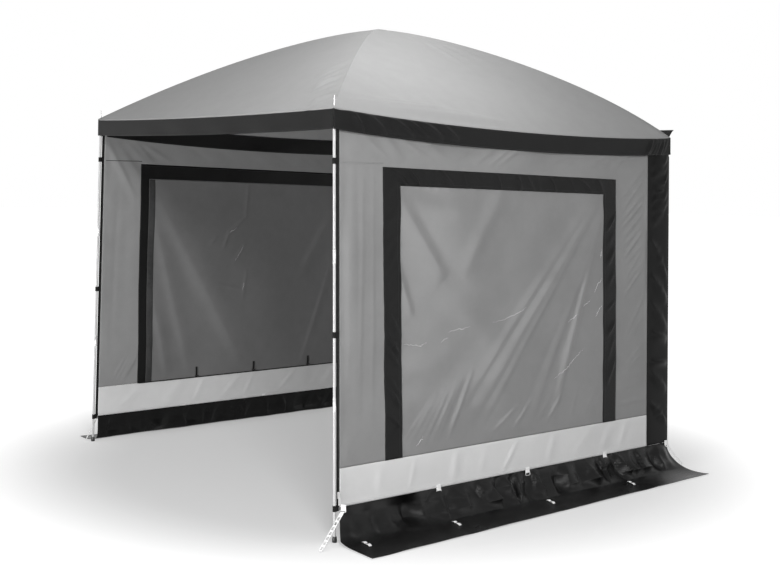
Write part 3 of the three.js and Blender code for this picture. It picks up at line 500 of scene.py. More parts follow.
def mix_colours(tree, mask, first, second):
    """Two grey levels, or sockets, mixed by a mask."""
    node = tree.nodes.new("ShaderNodeMix")
    node.data_type = "RGBA"
    tree.links.new(mask, node.inputs["Factor"])
    for slot, value in (("A", first), ("B", second)):
        socket = next(s for s in node.inputs if s.name == slot and s.type == "RGBA")
        if isinstance(value, (int, float)):
            socket.default_value = (grey(value),) * 3 + (1,)
        else:
            tree.links.new(value, socket)
    return next(s for s in node.outputs if s.type == "RGBA")


def add_dust(tree, at, colour, dust, level):
    """Lays ground dust of a grey level over a colour; dust is how strong it is."""
    grime = place_group(tree, "dust", Vector=at.outputs["Object"])
    return mix_colours(tree, math_node(tree, "MULTIPLY", grime.outputs["Mask"], dust), colour, level)


def bump(tree, shader, height, distance):
    """Feeds the shader's normal with a bump of a height."""
    node = tree.nodes.new("ShaderNodeBump")
    node.inputs["Distance"].default_value = distance
    node.inputs["Strength"].default_value = 1.0
    tree.links.new(height, node.inputs["Height"])
    tree.links.new(node.outputs["Normal"], shader.inputs["Normal"])


def cloth_material(name, dark, light, rough, threads=700.0, weave=0.35, dust=0.0, seams=(), crinkle=0.25,
                   painted_sheen=(), **sockets):
    """Coated woven cloth: mottled between two greys, with its weave, fine crinkles and rows of stitches.

    The sheen option is (low, high, lighter): cloth before low on the second UV axis is painted that much
    lighter than cloth past high, a painted sheen for the light that its folds catch.
    """
    made, tree, shader = new_material(name, rough, **sockets)
    at = tree.nodes.new("ShaderNodeTexCoord")
    parts = tree.nodes.new("ShaderNodeSeparateXYZ")
    tree.links.new(at.outputs["UV"], parts.inputs[0])
    mottle = place_group(tree, "mottle", Vector=at.outputs["Object"])
    woven = place_group(tree, "weave", Vector=at.outputs["UV"], Threads=threads)
    shade = ramp(tree, mottle.outputs["Shade"], 0.3, 0.7)
    fine = math_node(tree, "MULTIPLY", math_node(tree, "SUBTRACT", woven.outputs["Shade"], 0.5), 0.12)
    colour = mix_colours(tree, math_node(tree, "ADD", shade, fine, clamp=True), dark, light)
    crease = noise_node(tree, at.outputs["Object"], 46.0, 4.0, 0.62)
    height = math_node(tree, "ADD", math_node(tree, "MULTIPLY", woven.outputs["Height"], weave),
                       math_node(tree, "MULTIPLY", crease, crinkle * 1.6))
    for row in seams:
        stitch = place_group(tree, "stitch", Along=parts.outputs[0], Across=parts.outputs[1], Row=row)
        colour = mix_colours(tree, stitch.outputs["Mask"], colour, light + 14)
        height = math_node(tree, "ADD", height, math_node(tree, "MULTIPLY", stitch.outputs["Mask"], 2.0))
    # Painted sheen: cloth before low on the second UV axis is made lighter, for the light its folds catch.
    if painted_sheen:
        sheen_share = ramp(tree, parts.outputs[1], painted_sheen[0], painted_sheen[1], 1.0, 0.0)
        colour = mix_colours(tree, sheen_share, colour, light + painted_sheen[2])
    if dust:
        colour = add_dust(tree, at, colour, dust, 150)
    tree.links.new(colour, shader.inputs["Base Color"])
    worn = math_node(tree, "ADD", math_node(tree, "MULTIPLY", shade, 0.08), rough - 0.04)
    tree.links.new(worn, shader.inputs["Roughness"])
    bump(tree, shader, height, 0.0004)
    return made


def hard_material(name, dark, light, rough, metallic=0.0, grain=60.0, stretch=(1, 1, 1), depth=0.0002,
                  dust=0.0, **sockets):
    """Moulded plastic, rod or metal: a fine grain changes its colour, its gloss and its surface."""
    made, tree, shader = new_material(name, rough, metallic, **sockets)
    at = tree.nodes.new("ShaderNodeTexCoord")
    mapping = tree.nodes.new("ShaderNodeMapping")
    mapping.inputs["Scale"].default_value = stretch
    tree.links.new(at.outputs["Object"], mapping.inputs["Vector"])
    speck = noise_node(tree, mapping.outputs["Vector"], grain, 4.0, 0.6)
    share = ramp(tree, speck, 0.3, 0.7)
    colour = mix_colours(tree, share, dark, light)
    if dust:
        colour = add_dust(tree, at, colour, dust, 140)
    tree.links.new(colour, shader.inputs["Base Color"])
    uneven = math_node(tree, "ADD", math_node(tree, "MULTIPLY", share, 0.14), rough - 0.07)
    tree.links.new(uneven, shader.inputs["Roughness"])
    bump(tree, shader, speck, depth)
    return made


# %% [markdown]
# Each finish gets two grey levels, the way the coating varies, and a roughness. The black
# pieces have a low specular level, because a white studio mirrored in them would turn them
# grey. Webbing is woven coarser than cloth, and the grain of rods is drawn out upwards.

# %% The finishes of the awning
SMOOTH_COAT = {"weave": 0.3, "crinkle": 0.15}
COARSE = {"threads": 420.0, "weave": 1.0}
DRAWN_UP = (1, 1, 0.02)
roof_cloth = cloth_material("roof cloth", 153, 161, 0.75, Specular_IOR_Level=0.3, Sheen_Weight=0.06)
wall_cloth = cloth_material("wall cloth", 140, 148, 0.72, Specular_IOR_Level=0.3, Sheen_Weight=0.05)
pale_cloth = cloth_material("pale cloth", 218, 226, 0.68, seams=(0.006, 0.012), dust=0.12,
                            Specular_IOR_Level=0.3)
black_cloth = cloth_material("black cloth", 19, 26, 0.42, seams=(0.006, 0.084), Specular_IOR_Level=0.11,
                             **SMOOTH_COAT)
seal_cloth = cloth_material("seal sleeve", 12, 18, 0.42, Specular_IOR_Level=0.09, **SMOOTH_COAT)
black_webbing = cloth_material("black webbing", 22, 30, 0.6, Specular_IOR_Level=0.1, **COARSE)
edge_cloth = cloth_material("edge tape cloth", 40, 62, 0.6, Specular_IOR_Level=0.3, **COARSE)
# The skirt's falling part is painted lighter than its lying apron: a painted sheen.
skirt_cloth = cloth_material("skirt cloth", 4, 7, 0.30, weave=0.2, crinkle=0.1, dust=0.02,
                             painted_sheen=(0.20, 0.27, 4), Specular_IOR_Level=0.17)
blind_cloth = cloth_material("blind cloth", 106, 116, 0.8)
white_webbing = cloth_material("white webbing", 246, 252, 0.7, **COARSE)
fibre_rod = hard_material("glass fibre rod", 196, 216, 0.36, grain=900, stretch=DRAWN_UP, Coat_Weight=0.3,
                          Coat_Roughness=0.2)
steel = hard_material("polished steel", 186, 206, 0.3, 1.0, grain=240, stretch=(1, 1, 0.1), depth=0.0001)
leg_rod = hard_material("painted leg rod", 186, 206, 0.34, grain=500, stretch=DRAWN_UP, dust=0.2,
                        Coat_Weight=0.2)
white_steel = hard_material("bright ring wire", 224, 240, 0.3, 0.2, grain=300)
black_nylon = hard_material("black nylon", 20, 30, 0.42, grain=500, dust=0.2)
white_nylon = hard_material("white nylon", 240, 250, 0.4, grain=380, dust=0.15)
# White for the painted glints of light along the clear sheet's creases.
crease_glint_white = hard_material("painted crease glints", 236, 248, 0.5, grain=380)
tape_cloth = cloth_material("zip tape cloth", 24, 32, 0.6, threads=520.0, weave=1.0, seams=(0.0035,),
                            Specular_IOR_Level=0.1)


def clear_material(name, level, cover):
    """Soft clear sheet, glossy and tinted; cover is its opacity, the share that it hides."""
    made, tree, shader = new_material(name, 0.16, IOR=1.5)
    at = tree.nodes.new("ShaderNodeTexCoord").outputs["Object"]
    mottle = place_group(tree, "mottle", Vector=at)
    tint = mix_colours(tree, mottle.outputs["Shade"], level - 6, level + 6)
    tree.links.new(tint, shader.inputs["Base Color"])
    haze = noise_node(tree, at, 5.0, 4.0, 0.6)
    tree.links.new(ramp(tree, haze, 0.3, 0.7, 0.13, 0.24), shader.inputs["Roughness"])
    tree.links.new(ramp(tree, haze, 0.2, 0.8, cover - 0.04, cover + 0.04), shader.inputs["Alpha"])
    bump(tree, shader, noise_node(tree, at, 60.0, 3.0), 0.0002)
    return made


clear_sheet = clear_material("clear sheet", 160, 0.6)
print("finishes:", len(bpy.data.materials))

# %% [markdown]
# Cloth that is held at its edges shows where it pulls: folds run from the corners, and lie
# side by side where the cloth is stretched on the bias. A fold here is a line on the cloth
# with a width and a height; its profile across the line is a bell, steeper on one side, and it
# fades out towards both ends. A fan is a set of such lines with drawn places, widths and
# heights, so that no two are alike. The height field of a sheet is the sum of its folds.

# %% Folds
def lerp(low, high, share):
    """The value a share of the way from low to high."""
    return low + (high - low) * share


def folds(a, b, lines):
    """Sum of folds over places (a, b). Each line is (a0, b0, a1, b1, width, height, steep).

    Across the line the profile is a bell exp(-(d/width)^2), narrower on its left by the share
    steep, as where cloth tips over a crease; along it the fold grows and fades as a half sine.
    """
    total = np.zeros(np.broadcast(a, b).shape)
    for a0, b0, a1, b1, width, height, steep in lines:
        long = np.hypot(a1 - a0, b1 - b0)
        ua, ub = (a1 - a0) / long, (b1 - b0) / long
        along = ((a - a0) * ua + (b - b0) * ub) / long
        away = (-(a - a0) * ub + (b - b0) * ua) / width
        away = np.where(away > 0, away / steep, away)
        total += height * np.exp(-away ** 2) * np.sin(pi * np.clip(along, 0, 1)) ** 0.8
    return total


def fan(source, target, count, seed, width, height, steep=1.0):
    """Folds side by side, from one edge of the cloth to another, with drawn places, widths and heights."""
    draw = np.random.default_rng(seed)
    lines = []
    for k in range(count):
        start, end = (k + draw.uniform(0.1, 0.9, 2)) / count
        a0, b0 = lerp(np.array(source[0]), np.array(source[1]), start)
        a1, b1 = lerp(np.array(target[0]), np.array(target[1]), end)
        wide = width * draw.uniform(0.6, 1.5)
        tall = height * draw.uniform(0.4, 1.2)
        lines.append((a0, b0, a1, b1, wide, tall, steep))
    return lines


def ripple(a, b, seed, count, wave, height):
    """Soft unevenness: a seeded sum of plane waves in all directions, of about one wave length."""
    draw = np.random.default_rng(seed)
    total = np.zeros(np.broadcast(a, b).shape)
    for _ in range(count):
        angle, phase = draw.uniform(0, 2 * pi, 2)
        length = wave * draw.uniform(0.6, 1.7)
        total += np.sin(2 * pi * (a * cos(angle) + b * sin(angle)) / length + phase)
    return total * height / np.sqrt(count)


def smooth(low, high, value):
    """0 below low, 1 above high, and a smooth S between."""
    t = np.clip((value - low) / (high - low), 0, 1)
    return t * t * (3 - 2 * t)


# %% [markdown]
# The roof is one continuous curved sheet. Its grid runs in rings from the peak to the eaves,
# each ring a square with its corners on the ridges, so the ridges fall on grid lines and the
# cloth bends over the poles there. Flat panels would be simpler, but their creases would show.
# Small pulls cross the outer half of the front right ridge, soft ones run down from the peak,
# and faint folds lie along the near eave.

# %% Roof canopy
RINGS = 120
STEPS = 88
AROUND = 4 * STEPS
RIDGE_SEAM = 0.009
CUT_LINES = 161
LIP_BEND, LIP_DROP = 0.0015, 0.0060


def roof_surface(reach, s):
    """A point of the canopy: s runs 0 to 4 round the square, each whole number on a ridge."""
    quarter = np.floor(s).astype(int) % 4
    across = 2 * (s - np.floor(s)) - 1
    ahead_x = np.choose(quarter, [0, 1, 0, -1])
    ahead_y = np.choose(quarter, [-1, 0, 1, 0])
    x = HALF * reach * (ahead_x - ahead_y * across)
    y = HALF * reach * (ahead_y + ahead_x * across)
    return x, y, across, quarter


RIDGE_PULLS = fan(((0.66, -0.68), (1.08, -1.10)), ((0.56, -0.84), (0.96, -1.16)), 8, 5, 0.020, 0.0270, 0.6)
EAVE_PULLS = fan(((1.00, -1.00), (1.11, -1.06)), ((1.03, -0.30), (1.10, 0.05)), 5, 6, 0.014, 0.0140)
PEAK_PULLS = fan(((0.10, -0.02), (0.10, 0.08)), ((0.75, -0.20), (0.62, 0.42)), 4, 7, 0.034, 0.0090)


def crowd(s):
    """Steps closer together at the front right ridge: their distance from it is a power 1.6 of t."""
    quarter, t = np.floor(s), s - np.floor(s)
    return quarter + np.select([quarter == 0, quarter == 1], [1 - (1 - t) ** 1.6, t ** 1.6], t)


def roof_folds(x, y, across, quarter, reach):
    """Pulls over the front right ridge, folds along the near eave, and a slow unevenness."""
    front = np.where(quarter == 0, folds(x, y, RIDGE_PULLS), 0)
    side = np.where(quarter == 1, folds(x, y, EAVE_PULLS + PEAK_PULLS), 0)
    off_ridge = np.clip(1 - across ** 2, 0, 1)
    inside = off_ridge * reach * (1 - reach ** 12)
    seam = 0.0009 * np.exp(-((1 - np.abs(across)) * reach * HALF / RIDGE_SEAM) ** 4)
    return (front + side) * off_ridge ** 0.25 + seam + inside * ripple(x, y, 3, 12, 0.5, 0.0016)


# The roof was cut to its form without folds: the line over the middle each way, and that form's area.
line = np.linspace(-HALF, HALF, CUT_LINES)
flat_x, flat_y = np.meshgrid(line, line)
unfolded = points_of(flat_x, flat_y, roof_height(flat_x, flat_y))
ROOF_CUT = cut_size(unfolded, grid_quads(CUT_LINES, CUT_LINES))
print("roof cut, width, length and area:", [round(value, 3) for value in ROOF_CUT])

# The rings reach the eave, and the last two turn down as the roof's lip.
ring_reach = np.concatenate([np.linspace(0.004, 1, RINGS) ** 0.9, [1.0008, 1.0008]])
reach, s = np.meshgrid(ring_reach, np.arange(AROUND) / STEPS, indexing="ij")
x, y, across, quarter = roof_surface(np.minimum(reach, 1), crowd(s))
z = roof_height(x, y) + roof_folds(x, y, across, quarter, np.minimum(reach, 1))
z[-2] -= LIP_BEND
z[-1] -= LIP_DROP
peak = points_of(0.0, 0.0, roof_height(0.0, 0.0)).reshape(1, 3)
canopy_points = np.concatenate([points_of(x, y, z).reshape(-1, 3), peak])
canopy_quads = face_towards(grid_quads(len(ring_reach), AROUND, wrap=True), canopy_points, (0, 0, 1))
around = np.arange(AROUND)
peak_fan = np.stack([np.full(AROUND, len(canopy_points) - 1), around, (around + 1) % AROUND], -1)
canopy_uv = np.concatenate([np.stack([x, y], -1).reshape(-1, 2), [[0.0, 0.0]]])
poles = [f"pole_{end}_{name}" for end in ("front", "rear") for name in SIDES]
SHEETS["roof_canopy"] = (*ROOF_CUT, "stretched", poles)
canopy = add_mesh("roof_canopy", canopy_points, [canopy_quads, peak_fan], canopy_uv)
give_thickness(canopy, 0.0014)
fit(canopy, roof_cloth, replaces=["roof_panel_front", "roof_panel_rear", "roof_panel_right",
                                  "roof_panel_left"])
print("roof canopy:", len(canopy.data.polygons), "faces")

# %% [markdown]
# A small square patch covers the peak, where the four ridges meet. It could be a flat square,
# but it follows the roof's own formula a little above it, so it bends as the roof does. Its
# rim swells over the seam.

# %% Peak patch
PATCH_HALF = 0.030
PATCH_LIFT = 0.0012
u, v = np.meshgrid(np.linspace(-1, 1, 33), np.linspace(-1, 1, 33))
patch_x, patch_y = PATCH_HALF * u, PATCH_HALF * v
rim = 0.0008 * np.exp(-((1 - np.maximum(np.abs(u), np.abs(v))) / 0.12) ** 2)
patch_z = roof_height(patch_x, patch_y) + PATCH_LIFT + rim
cloth("peak_patch", points_of(patch_x, patch_y, patch_z), (0, 0, 1), roof_cloth,
      uv=(PATCH_HALF * (1 + u), PATCH_HALF * (1 + v)), replaces=["peak_cap"])
print("peak patch:", 2 * PATCH_HALF, "m square")

# %% [markdown]
# A black band hangs from each eave. It follows the sagging edge of the roof, waves a little
# where nothing pulls it, and has a hem along its foot. The bands at the sides have diagonal
# pulls near both ends, where the poles and the van hold the roof.

# %% Eave bands
BAND = 0.090
BAND_COLUMNS = 300
REAR_PULLS = fan(((1.00, 1.84), (1.13, 1.84)), ((0.90, 1.72), (1.08, 1.72)), 6, 8, 0.012, 0.0180, 0.6)
FRONT_PULLS = fan(((-1.10, 1.88), (-0.55, 1.86)), ((-1.00, 1.78), (-0.40, 1.76)), 7, 9, 0.015, 0.0190, 0.6)


def band_rows():
    """Shares down a band, closer together at its hem."""
    return np.concatenate([np.linspace(0, 0.86, 14), np.linspace(0.88, 1, 6)])


def eave_underside(x, y):
    """Height at which a band is sewn under the roof's edge."""
    return roof_height(x, y) - 0.0016


def hem_swell(share):
    """The folded hem is a little thicker near the foot of a band."""
    return 0.0009 * smooth(0.86, 0.9, share) * (1 - smooth(0.985, 1, share))


def side_band(name, side):
    """A band in the plane just outside the wall: h falls from the eave; depth waves with y."""
    y, share = np.meshgrid(np.linspace(-HALF, HALF, BAND_COLUMNS), band_rows())
    ends = smooth(-HALF, -HALF + 0.1, y) * (1 - smooth(HALF - 0.06, HALF, y))
    h = up_slope(eave_underside(HALF, y)) - OVERHANG * TILT - BAND * share
    wave = ends * share * ripple(y, h, 11 + int(side), 9, 0.34, 0.0028)
    pulls = ends ** 0.3 * share ** 0.5 * folds(y, h, REAR_PULLS + FRONT_PULLS)
    depth = OVERHANG - 0.0005 + hem_swell(share) + wave + pulls
    cloth("band_" + name, wall_points(side, y, h, depth), (side, 0, 0), black_cloth,
          uv=(y, BAND * (1 - share)), replaces=["eave_band_" + name], held="hung")


def end_band(name, way):
    """A band across the front or the rear: y stays at the eave but for its waves."""
    half = HALF - 0.0022
    x, share = np.meshgrid(np.linspace(-half, half, BAND_COLUMNS), band_rows())
    ends = smooth(-HALF, -HALF + 0.1, x) * (1 - smooth(HALF - 0.1, HALF, x))
    wave = ends * share * ripple(x, share * BAND, 17 + int(way), 9, 0.4, 0.0032)
    y = way * (HALF - 0.0006 + hem_swell(share) + wave)
    z = eave_underside(x, way * HALF) - BAND * share
    cloth("band_" + name, points_of(x, y, z), (0, way, 0), black_cloth,
          uv=(x, BAND * (1 - share)), replaces=["eave_band_" + name], held="hung")


for name, side in SIDES.items():
    side_band(name, side)
for name, way in (("front", -1), ("rear", 1)):
    end_band(name, way)
print("eave bands:", [name for name in SHEETS if name.startswith("band_")])

# %% [markdown]
# Towards the van a flap rises from the rear eave to a round bead, which slides into a rail on
# the van's roof. The bead is a rod with the flap's cloth sewn round it.

# %% Van flap and bead
FLAP_REACH = 0.032
FLAP_RISE = 0.040
FLAP_LAP = 0.024
FLAP_HALF = 1.125
SEWN = 0.36
FREE = 1 - SEWN
BEAD_RADIUS = 0.0034
bead_z = float(roof_height(HALF, HALF)) + FLAP_RISE
bead_y = HALF + 0.001 + FLAP_REACH + 0.0008
x, share = np.meshgrid(np.linspace(-FLAP_HALF, FLAP_HALF, 240), np.linspace(0, 1, 22))
eave_z = roof_height(x, HALF)
bend = smooth(0.2, 0.62, share)
y = HALF + 0.0012 + FLAP_REACH * np.clip((share - SEWN) / FREE, 0, 1) ** 1.15
sewn_z = eave_z - FLAP_LAP * (1 - share / SEWN)
free_z = eave_z + (bead_z - eave_z) * (share - SEWN) / FREE
z = np.where(share < SEWN, sewn_z, free_z)
y = y + 0.0015 * bend * ripple(x, share * 0.07, 23, 8, 0.22, 1.0) * np.sin(pi * share)
cloth("van_flap_cloth", points_of(x, y, z), (0, 1, 0), black_cloth, uv=(x, share * 0.09),
      replaces=["van_flap"], held="hung")
bead_path = CENTRE + np.array([[place, bead_y, bead_z] for place in (-FLAP_HALF, 0, FLAP_HALF)])
closed_piece("rail_bead", [tube_mesh(bead_path, BEAD_RADIUS, 16)], black_nylon)
print("flap and bead at z", round(bead_z, 3))

# %% [markdown]
# Each side wall is one piece of mid grey cloth with a window cut in it. The window's black
# surround, its clear sheet, the blind behind it and the pale band below are all sewn to the
# same cloth, so one height field of folds moves them all, and they never part or cross.

# %% Layout of a side wall
SILL_HEIGHT = 0.320
FOOT_HEIGHT = 0.150
SEAM_GAP = 0.0003
SILL = up_slope(SILL_HEIGHT) + SEAM_GAP
BAND_FOOT = up_slope(FOOT_HEIGHT) + SEAM_GAP
SEAL_WIDE = 0.175
SEAL_REAR = HALF - 0.002
SEAL_FRONT = SEAL_REAR - SEAL_WIDE
TAPE_WIDE = 0.016
TAPE_BEHIND_LEG = 0.0105
WINDOW_FRONT = -0.863
WINDOW_REAR = 0.700
WINDOW_TOP = 1.632
LAP = 0.030
SURROUND_SIDE = 0.100
SURROUND_TOP = 0.080
INNER_SIDE = 0.058
INNER_TOP = 0.088
EAVE_SLOPE = up_slope(EAVE)


def leg_y(h):
    """The front legs lean forwards to the ground."""
    return -WALL_TOP_HALF - FRONT_SPLAY * (1 - h / EAVE_SLOPE)


def tape_front(h):
    """Front edge of the zip tape, close behind the leg."""
    return leg_y(h) + TAPE_BEHIND_LEG


def wall_front(h):
    """Front edge of the wall's cloth, at the back of the zip tape."""
    return tape_front(h) + TAPE_WIDE + SEAM_GAP


def window_top(y):
    """The window's top edge falls towards the van, in line with the eave."""
    return WINDOW_TOP - REAR_DROP / (2 * HALF) * (y - WINDOW_FRONT)


def wall_top(y):
    """Slope height at which the wall meets the roof."""
    outer = wall_x(roof_height(WALL_TOP_HALF, y))
    return up_slope(roof_height(outer, y) - ROOF_CLOTH - 0.0012)


# %% [markdown]
# The folds of each wall are of the kinds that the photograph shows: short pulls beside the
# seal and under the eave, long diagonals over the window, and small ones above the sill.
# Sculpting them by hand would look freer, but a list can be changed one fold at a time. A fan
# reads: from this edge, to that edge, how many, seed, width, height and steepness.

# %% Folds of the walls
RIGHT_FOLDS = (
    fan(((0.935, 1.67), (0.935, 1.10)), ((0.73, 1.50), (0.76, 0.93)), 11, 11, 0.012, 0.0040, 0.6)
    + fan(((0.95, 1.02), (0.95, 0.62)), ((0.76, 0.80), (0.76, 0.50)), 4, 12, 0.018, 0.0030, 0.7)
    + fan(((0.96, 0.60), (0.96, 0.40)), ((0.72, 0.62), (0.72, 0.40)), 3, 13, 0.014, 0.0040)
    + fan(((0.50, 1.80), (0.95, 1.78)), ((0.16, 1.66), (0.68, 1.65)), 6, 14, 0.020, 0.0042, 0.6)
    + fan(((-0.34, 1.80), (0.16, 1.80)), ((-0.60, 1.66), (-0.10, 1.64)), 5, 15, 0.020, 0.0036, 0.6)
    + fan(((-1.05, 1.78), (-0.62, 1.80)), ((-0.86, 1.66), (-0.42, 1.66)), 4, 16, 0.020, 0.0036, 0.6)
    + fan(((-1.06, 1.70), (-0.90, 1.66)), ((-1.08, 0.50), (-0.92, 0.45)), 5, 17, 0.026, 0.0040, 0.7)
    + fan(((0.56, 1.56), (0.63, 1.44)), ((-0.58, 0.42), (0.24, 0.36)), 6, 18, 0.036, 0.0062, 0.5)
    + [(-0.10, 1.55, -0.40, 1.12, 0.050, 0.0070, 0.8), (-0.80, 1.53, -0.50, 1.12, 0.060, 0.0080, 0.6),
       (-0.81, 1.26, -0.70, 0.96, 0.024, 0.0044, 0.8), (0.59, 1.42, 0.22, 0.36, 0.026, 0.0060, 0.6)]
    + fan(((-0.80, 0.36), (-0.48, 0.36)), ((-0.62, 0.56), (-0.30, 0.70)), 7, 19, 0.013, 0.0030, 0.8)
    + fan(((-0.25, 0.36), (0.50, 0.36)), ((-0.05, 0.50), (0.62, 0.55)), 6, 20, 0.013, 0.0026)
    + fan(((-0.85, 1.65), (0.66, 1.61)), ((-0.78, 1.53), (0.74, 1.50)), 20, 21, 0.010, 0.0026, 0.8)
    + fan(((-0.87, 0.36), (-0.87, 1.50)), ((-0.76, 0.50), (-0.76, 1.62)), 12, 22, 0.012, 0.0026, 0.8)
)
LEFT_FOLDS = (
    [(-0.80, 1.53, -0.08, 0.30, 0.050, -0.0200, 2.6), (-0.80, 1.42, -0.50, 0.30, 0.032, -0.0110, 2.2),
     (-0.79, 0.90, -0.66, 0.30, 0.024, -0.0080, 2.0), (0.57, 1.40, 0.25, 0.86, 0.030, -0.0070, 2.4),
     (0.55, 1.04, 0.30, 0.30, 0.014, -0.0060, 2.4), (-0.12, 1.56, -0.14, 1.28, 0.014, -0.0034, 0.8),
     (-0.12, 1.33, -0.28, 1.19, 0.014, -0.0036, 0.8), (-0.25, 1.24, -0.30, 1.11, 0.012, -0.0030, 0.8),
     (-0.34, 1.20, -0.40, 1.14, 0.012, -0.0026, 0.8), (-0.23, 1.02, -0.13, 1.16, 0.012, -0.0030, 0.8),
     (-0.12, 0.99, -0.15, 0.77, 0.012, -0.0030, 0.8), (-0.34, 0.90, -0.12, 0.85, 0.012, -0.0022, 0.8)]
    + fan(((-1.06, 0.34), (-0.94, 0.34)), ((-0.96, 0.50), (-0.86, 0.50)), 4, 23, 0.012, -0.0060, 0.7)
    + fan(((-1.11, 1.78), (-0.90, 1.80)), ((-0.92, 1.40), (-0.60, 1.66)), 5, 24, 0.022, -0.0060, 0.7)
    + fan(((-0.60, 1.76), (0.60, 1.76)), ((-0.40, 1.64), (0.80, 1.62)), 7, 25, 0.020, 0.0016)
    + fan(((-1.02, 1.60), (-0.92, 1.60)), ((-1.06, 0.50), (-0.93, 0.60)), 3, 26, 0.030, 0.0022)
    + fan(((0.935, 1.62), (0.935, 0.90)), ((0.73, 1.40), (0.76, 0.70)), 8, 27, 0.014, 0.0044, 0.7)
)
WALL_FOLDS = {"right": RIGHT_FOLDS, "left": LEFT_FOLDS}


def wall_depth(name, y, h):
    """Depth of the wall's cloth outwards: its folds and a slow unevenness, held at the edges."""
    side = SIDES[name]
    held = smooth(wall_front(h), wall_front(h) + 0.05, y) * (1 - smooth(SEAL_FRONT - 0.03, SEAL_FRONT, y))
    held = held * smooth(SILL - 0.01, SILL + 0.10, h) * (1 - smooth(-0.10, 0.0, h - wall_top(y)))
    tense = 0.35 + 0.65 * held
    slow = ripple(y, h, 31 + int(side), 14, 0.55, 0.0030) + ripple(y, h, 41 + int(side), 16, 0.19, 0.0008)
    return tense * folds(y, h, WALL_FOLDS[name]) * held ** 0.3 + held * slow


def on_wall(name, y, h, off=0.0):
    """Points at a distance outwards from the wall's cloth, so that they share its folds."""
    return wall_points(SIDES[name], y, h, wall_depth(name, y, h) + off)


# %% [markdown]
# The wall's grid is three blocks of columns and two of rows. The middle block of the lower
# rows is the window, and its cells are left out. The columns of the first block lean with the
# zip tape, and the rows of the upper blocks follow the roof.

# %% Side walls
def block_shares(counts):
    """Block number and share within it for every line of a grid made of blocks."""
    number = np.concatenate([np.full(count, k) for k, count in enumerate(counts)] + [[len(counts) - 1]])
    share = np.concatenate([np.arange(count) / count for count in counts] + [[1.0]])
    return number, share


PANE_FRONT = WINDOW_FRONT + LAP
PANE_REAR = WINDOW_REAR - LAP


def wall_grid():
    """Places (y, h) of the wall's grid and the mask of the cells that stay."""
    column, across = block_shares((40, 190, 44))
    row, up = block_shares((150, 36))
    column, row = np.meshgrid(column, row)
    across, up = np.meshgrid(across, up)
    h = np.full(column.shape, 1.0)
    for _ in range(3):
        front = lerp(wall_front(h), PANE_FRONT, across)
        middle = lerp(PANE_FRONT, PANE_REAR, across)
        y = np.choose(column, [front, middle, lerp(PANE_REAR, SEAL_FRONT - SEAM_GAP, across)])
        edge = window_top(y) - LAP
        h = np.where(row == 0, lerp(SILL, edge, up), lerp(edge, wall_top(y), up))
    keep = ~((column[:-1, :-1] == 1) & (row[:-1, :-1] == 0))
    return y, h, keep


wall_y, wall_h, wall_keep = wall_grid()
for name, side in SIDES.items():
    cloth("wall_" + name, on_wall(name, wall_y, wall_h, 0.0006), (side, 0, 0), wall_cloth,
          uv=(wall_y, wall_h), keep=wall_keep, replaces=["side_wall_" + name])
print("walls:", int(wall_keep.sum()), "cells each")

# %% [markdown]
# The window: a black surround outside, a narrower band inside, the clear sheet and a grey blind behind it,
# held up inside the window. The blind is a soft piece on a slide joint.

# %% Window grids
def u_band(side_wide, top_wide, front, rear, count=(170, 190, 170), across=12):
    """A band round three sides of the window: from the sill up, along the top and down again."""
    part, share = block_shares(count)
    part, width = np.meshgrid(part, np.linspace(0, 1, across))
    share = np.meshgrid(share, np.linspace(0, 1, across))[0]
    left, right = lerp(front, front + side_wide, width), lerp(rear, rear - side_wide, width)
    tops = [window_top(left) - top_wide * width, window_top(right) - top_wide * width]
    y = np.choose(part, [left, lerp(left, right, share), right])
    top = window_top(y) - top_wide * width
    h = np.choose(part, [lerp(SILL, tops[0], share), top, lerp(tops[1], SILL, share)])
    run = np.choose(part, [share * 1.3, 1.3 + share * 1.56, 2.9 + share * 1.3])
    return y, h, run, width * side_wide


def inside_grid(front, rear, drop, low):
    """A grid that fills the window's opening, with its top edge in line with the window's."""
    across, up = unit_grid(190, 160)
    y = lerp(front, rear, across)
    return y, lerp(low, window_top(y) - drop, up)


# %% [markdown]
# The pieces of a window lie in layers, each at its own distance from the wall's cloth. The
# surround is outside, and the inner band, blind and edge tapes follow inside. A layer that
# swells does so away from its neighbours, so that no layer cuts through another. Separate
# shapes at the same place would need a new gap after every change of a fold.

# %% Layers of the window, as distances outwards from the wall's cloth
SURROUND_LAYER = 0.0024
SHEET_LAYER = 0.0005
INNER_LAYER = -0.0030
BLIND_LAYER = -0.0042
SILL_CORD_LAYER = -0.0056
TAPE_LAYER = -0.0062
print("layers from", TAPE_LAYER, "to", SURROUND_LAYER, "m")

# %% Surround and inner band
SURROUND_PULLS = (
    fan(((-0.86, 0.0), (0.60, 0.0)), ((-0.76, -0.10), (0.70, -0.10)), 12, 35, 0.012, 0.0130, 0.6)
    + fan(((-0.86, -0.60), (-0.86, -1.10)), ((-0.77, -0.72), (-0.77, -1.20)), 6, 36, 0.016, 0.0120, 0.6)
    + fan(((0.62, -0.20), (0.62, -1.10)), ((0.70, -0.10), (0.70, -1.00)), 8, 37, 0.014, 0.0110, 0.6)
)
INNER_OUT = 0.006


def surround(name, side):
    """The black frame on the wall's face: thicker along both seams, with pulls across it."""
    y, h, run, width = u_band(SURROUND_SIDE, SURROUND_TOP, WINDOW_FRONT, WINDOW_REAR)
    seams = [np.exp(-((width - at) / 0.003) ** 2) for at in (0.004, SURROUND_SIDE - 0.004)]
    held = np.sin(pi * np.clip(width / SURROUND_SIDE, 0, 1)) ** 0.6
    swell = 0.0007 * (seams[0] + seams[1]) + held * folds(y, h - window_top(y), SURROUND_PULLS)
    points = wall_points(side, y, h, wall_depth(name, y, h) + SURROUND_LAYER + swell)
    cloth("surround_" + name, points, (side, 0, 0), black_cloth, uv=(run, width),
          replaces=["window_surround_" + name])


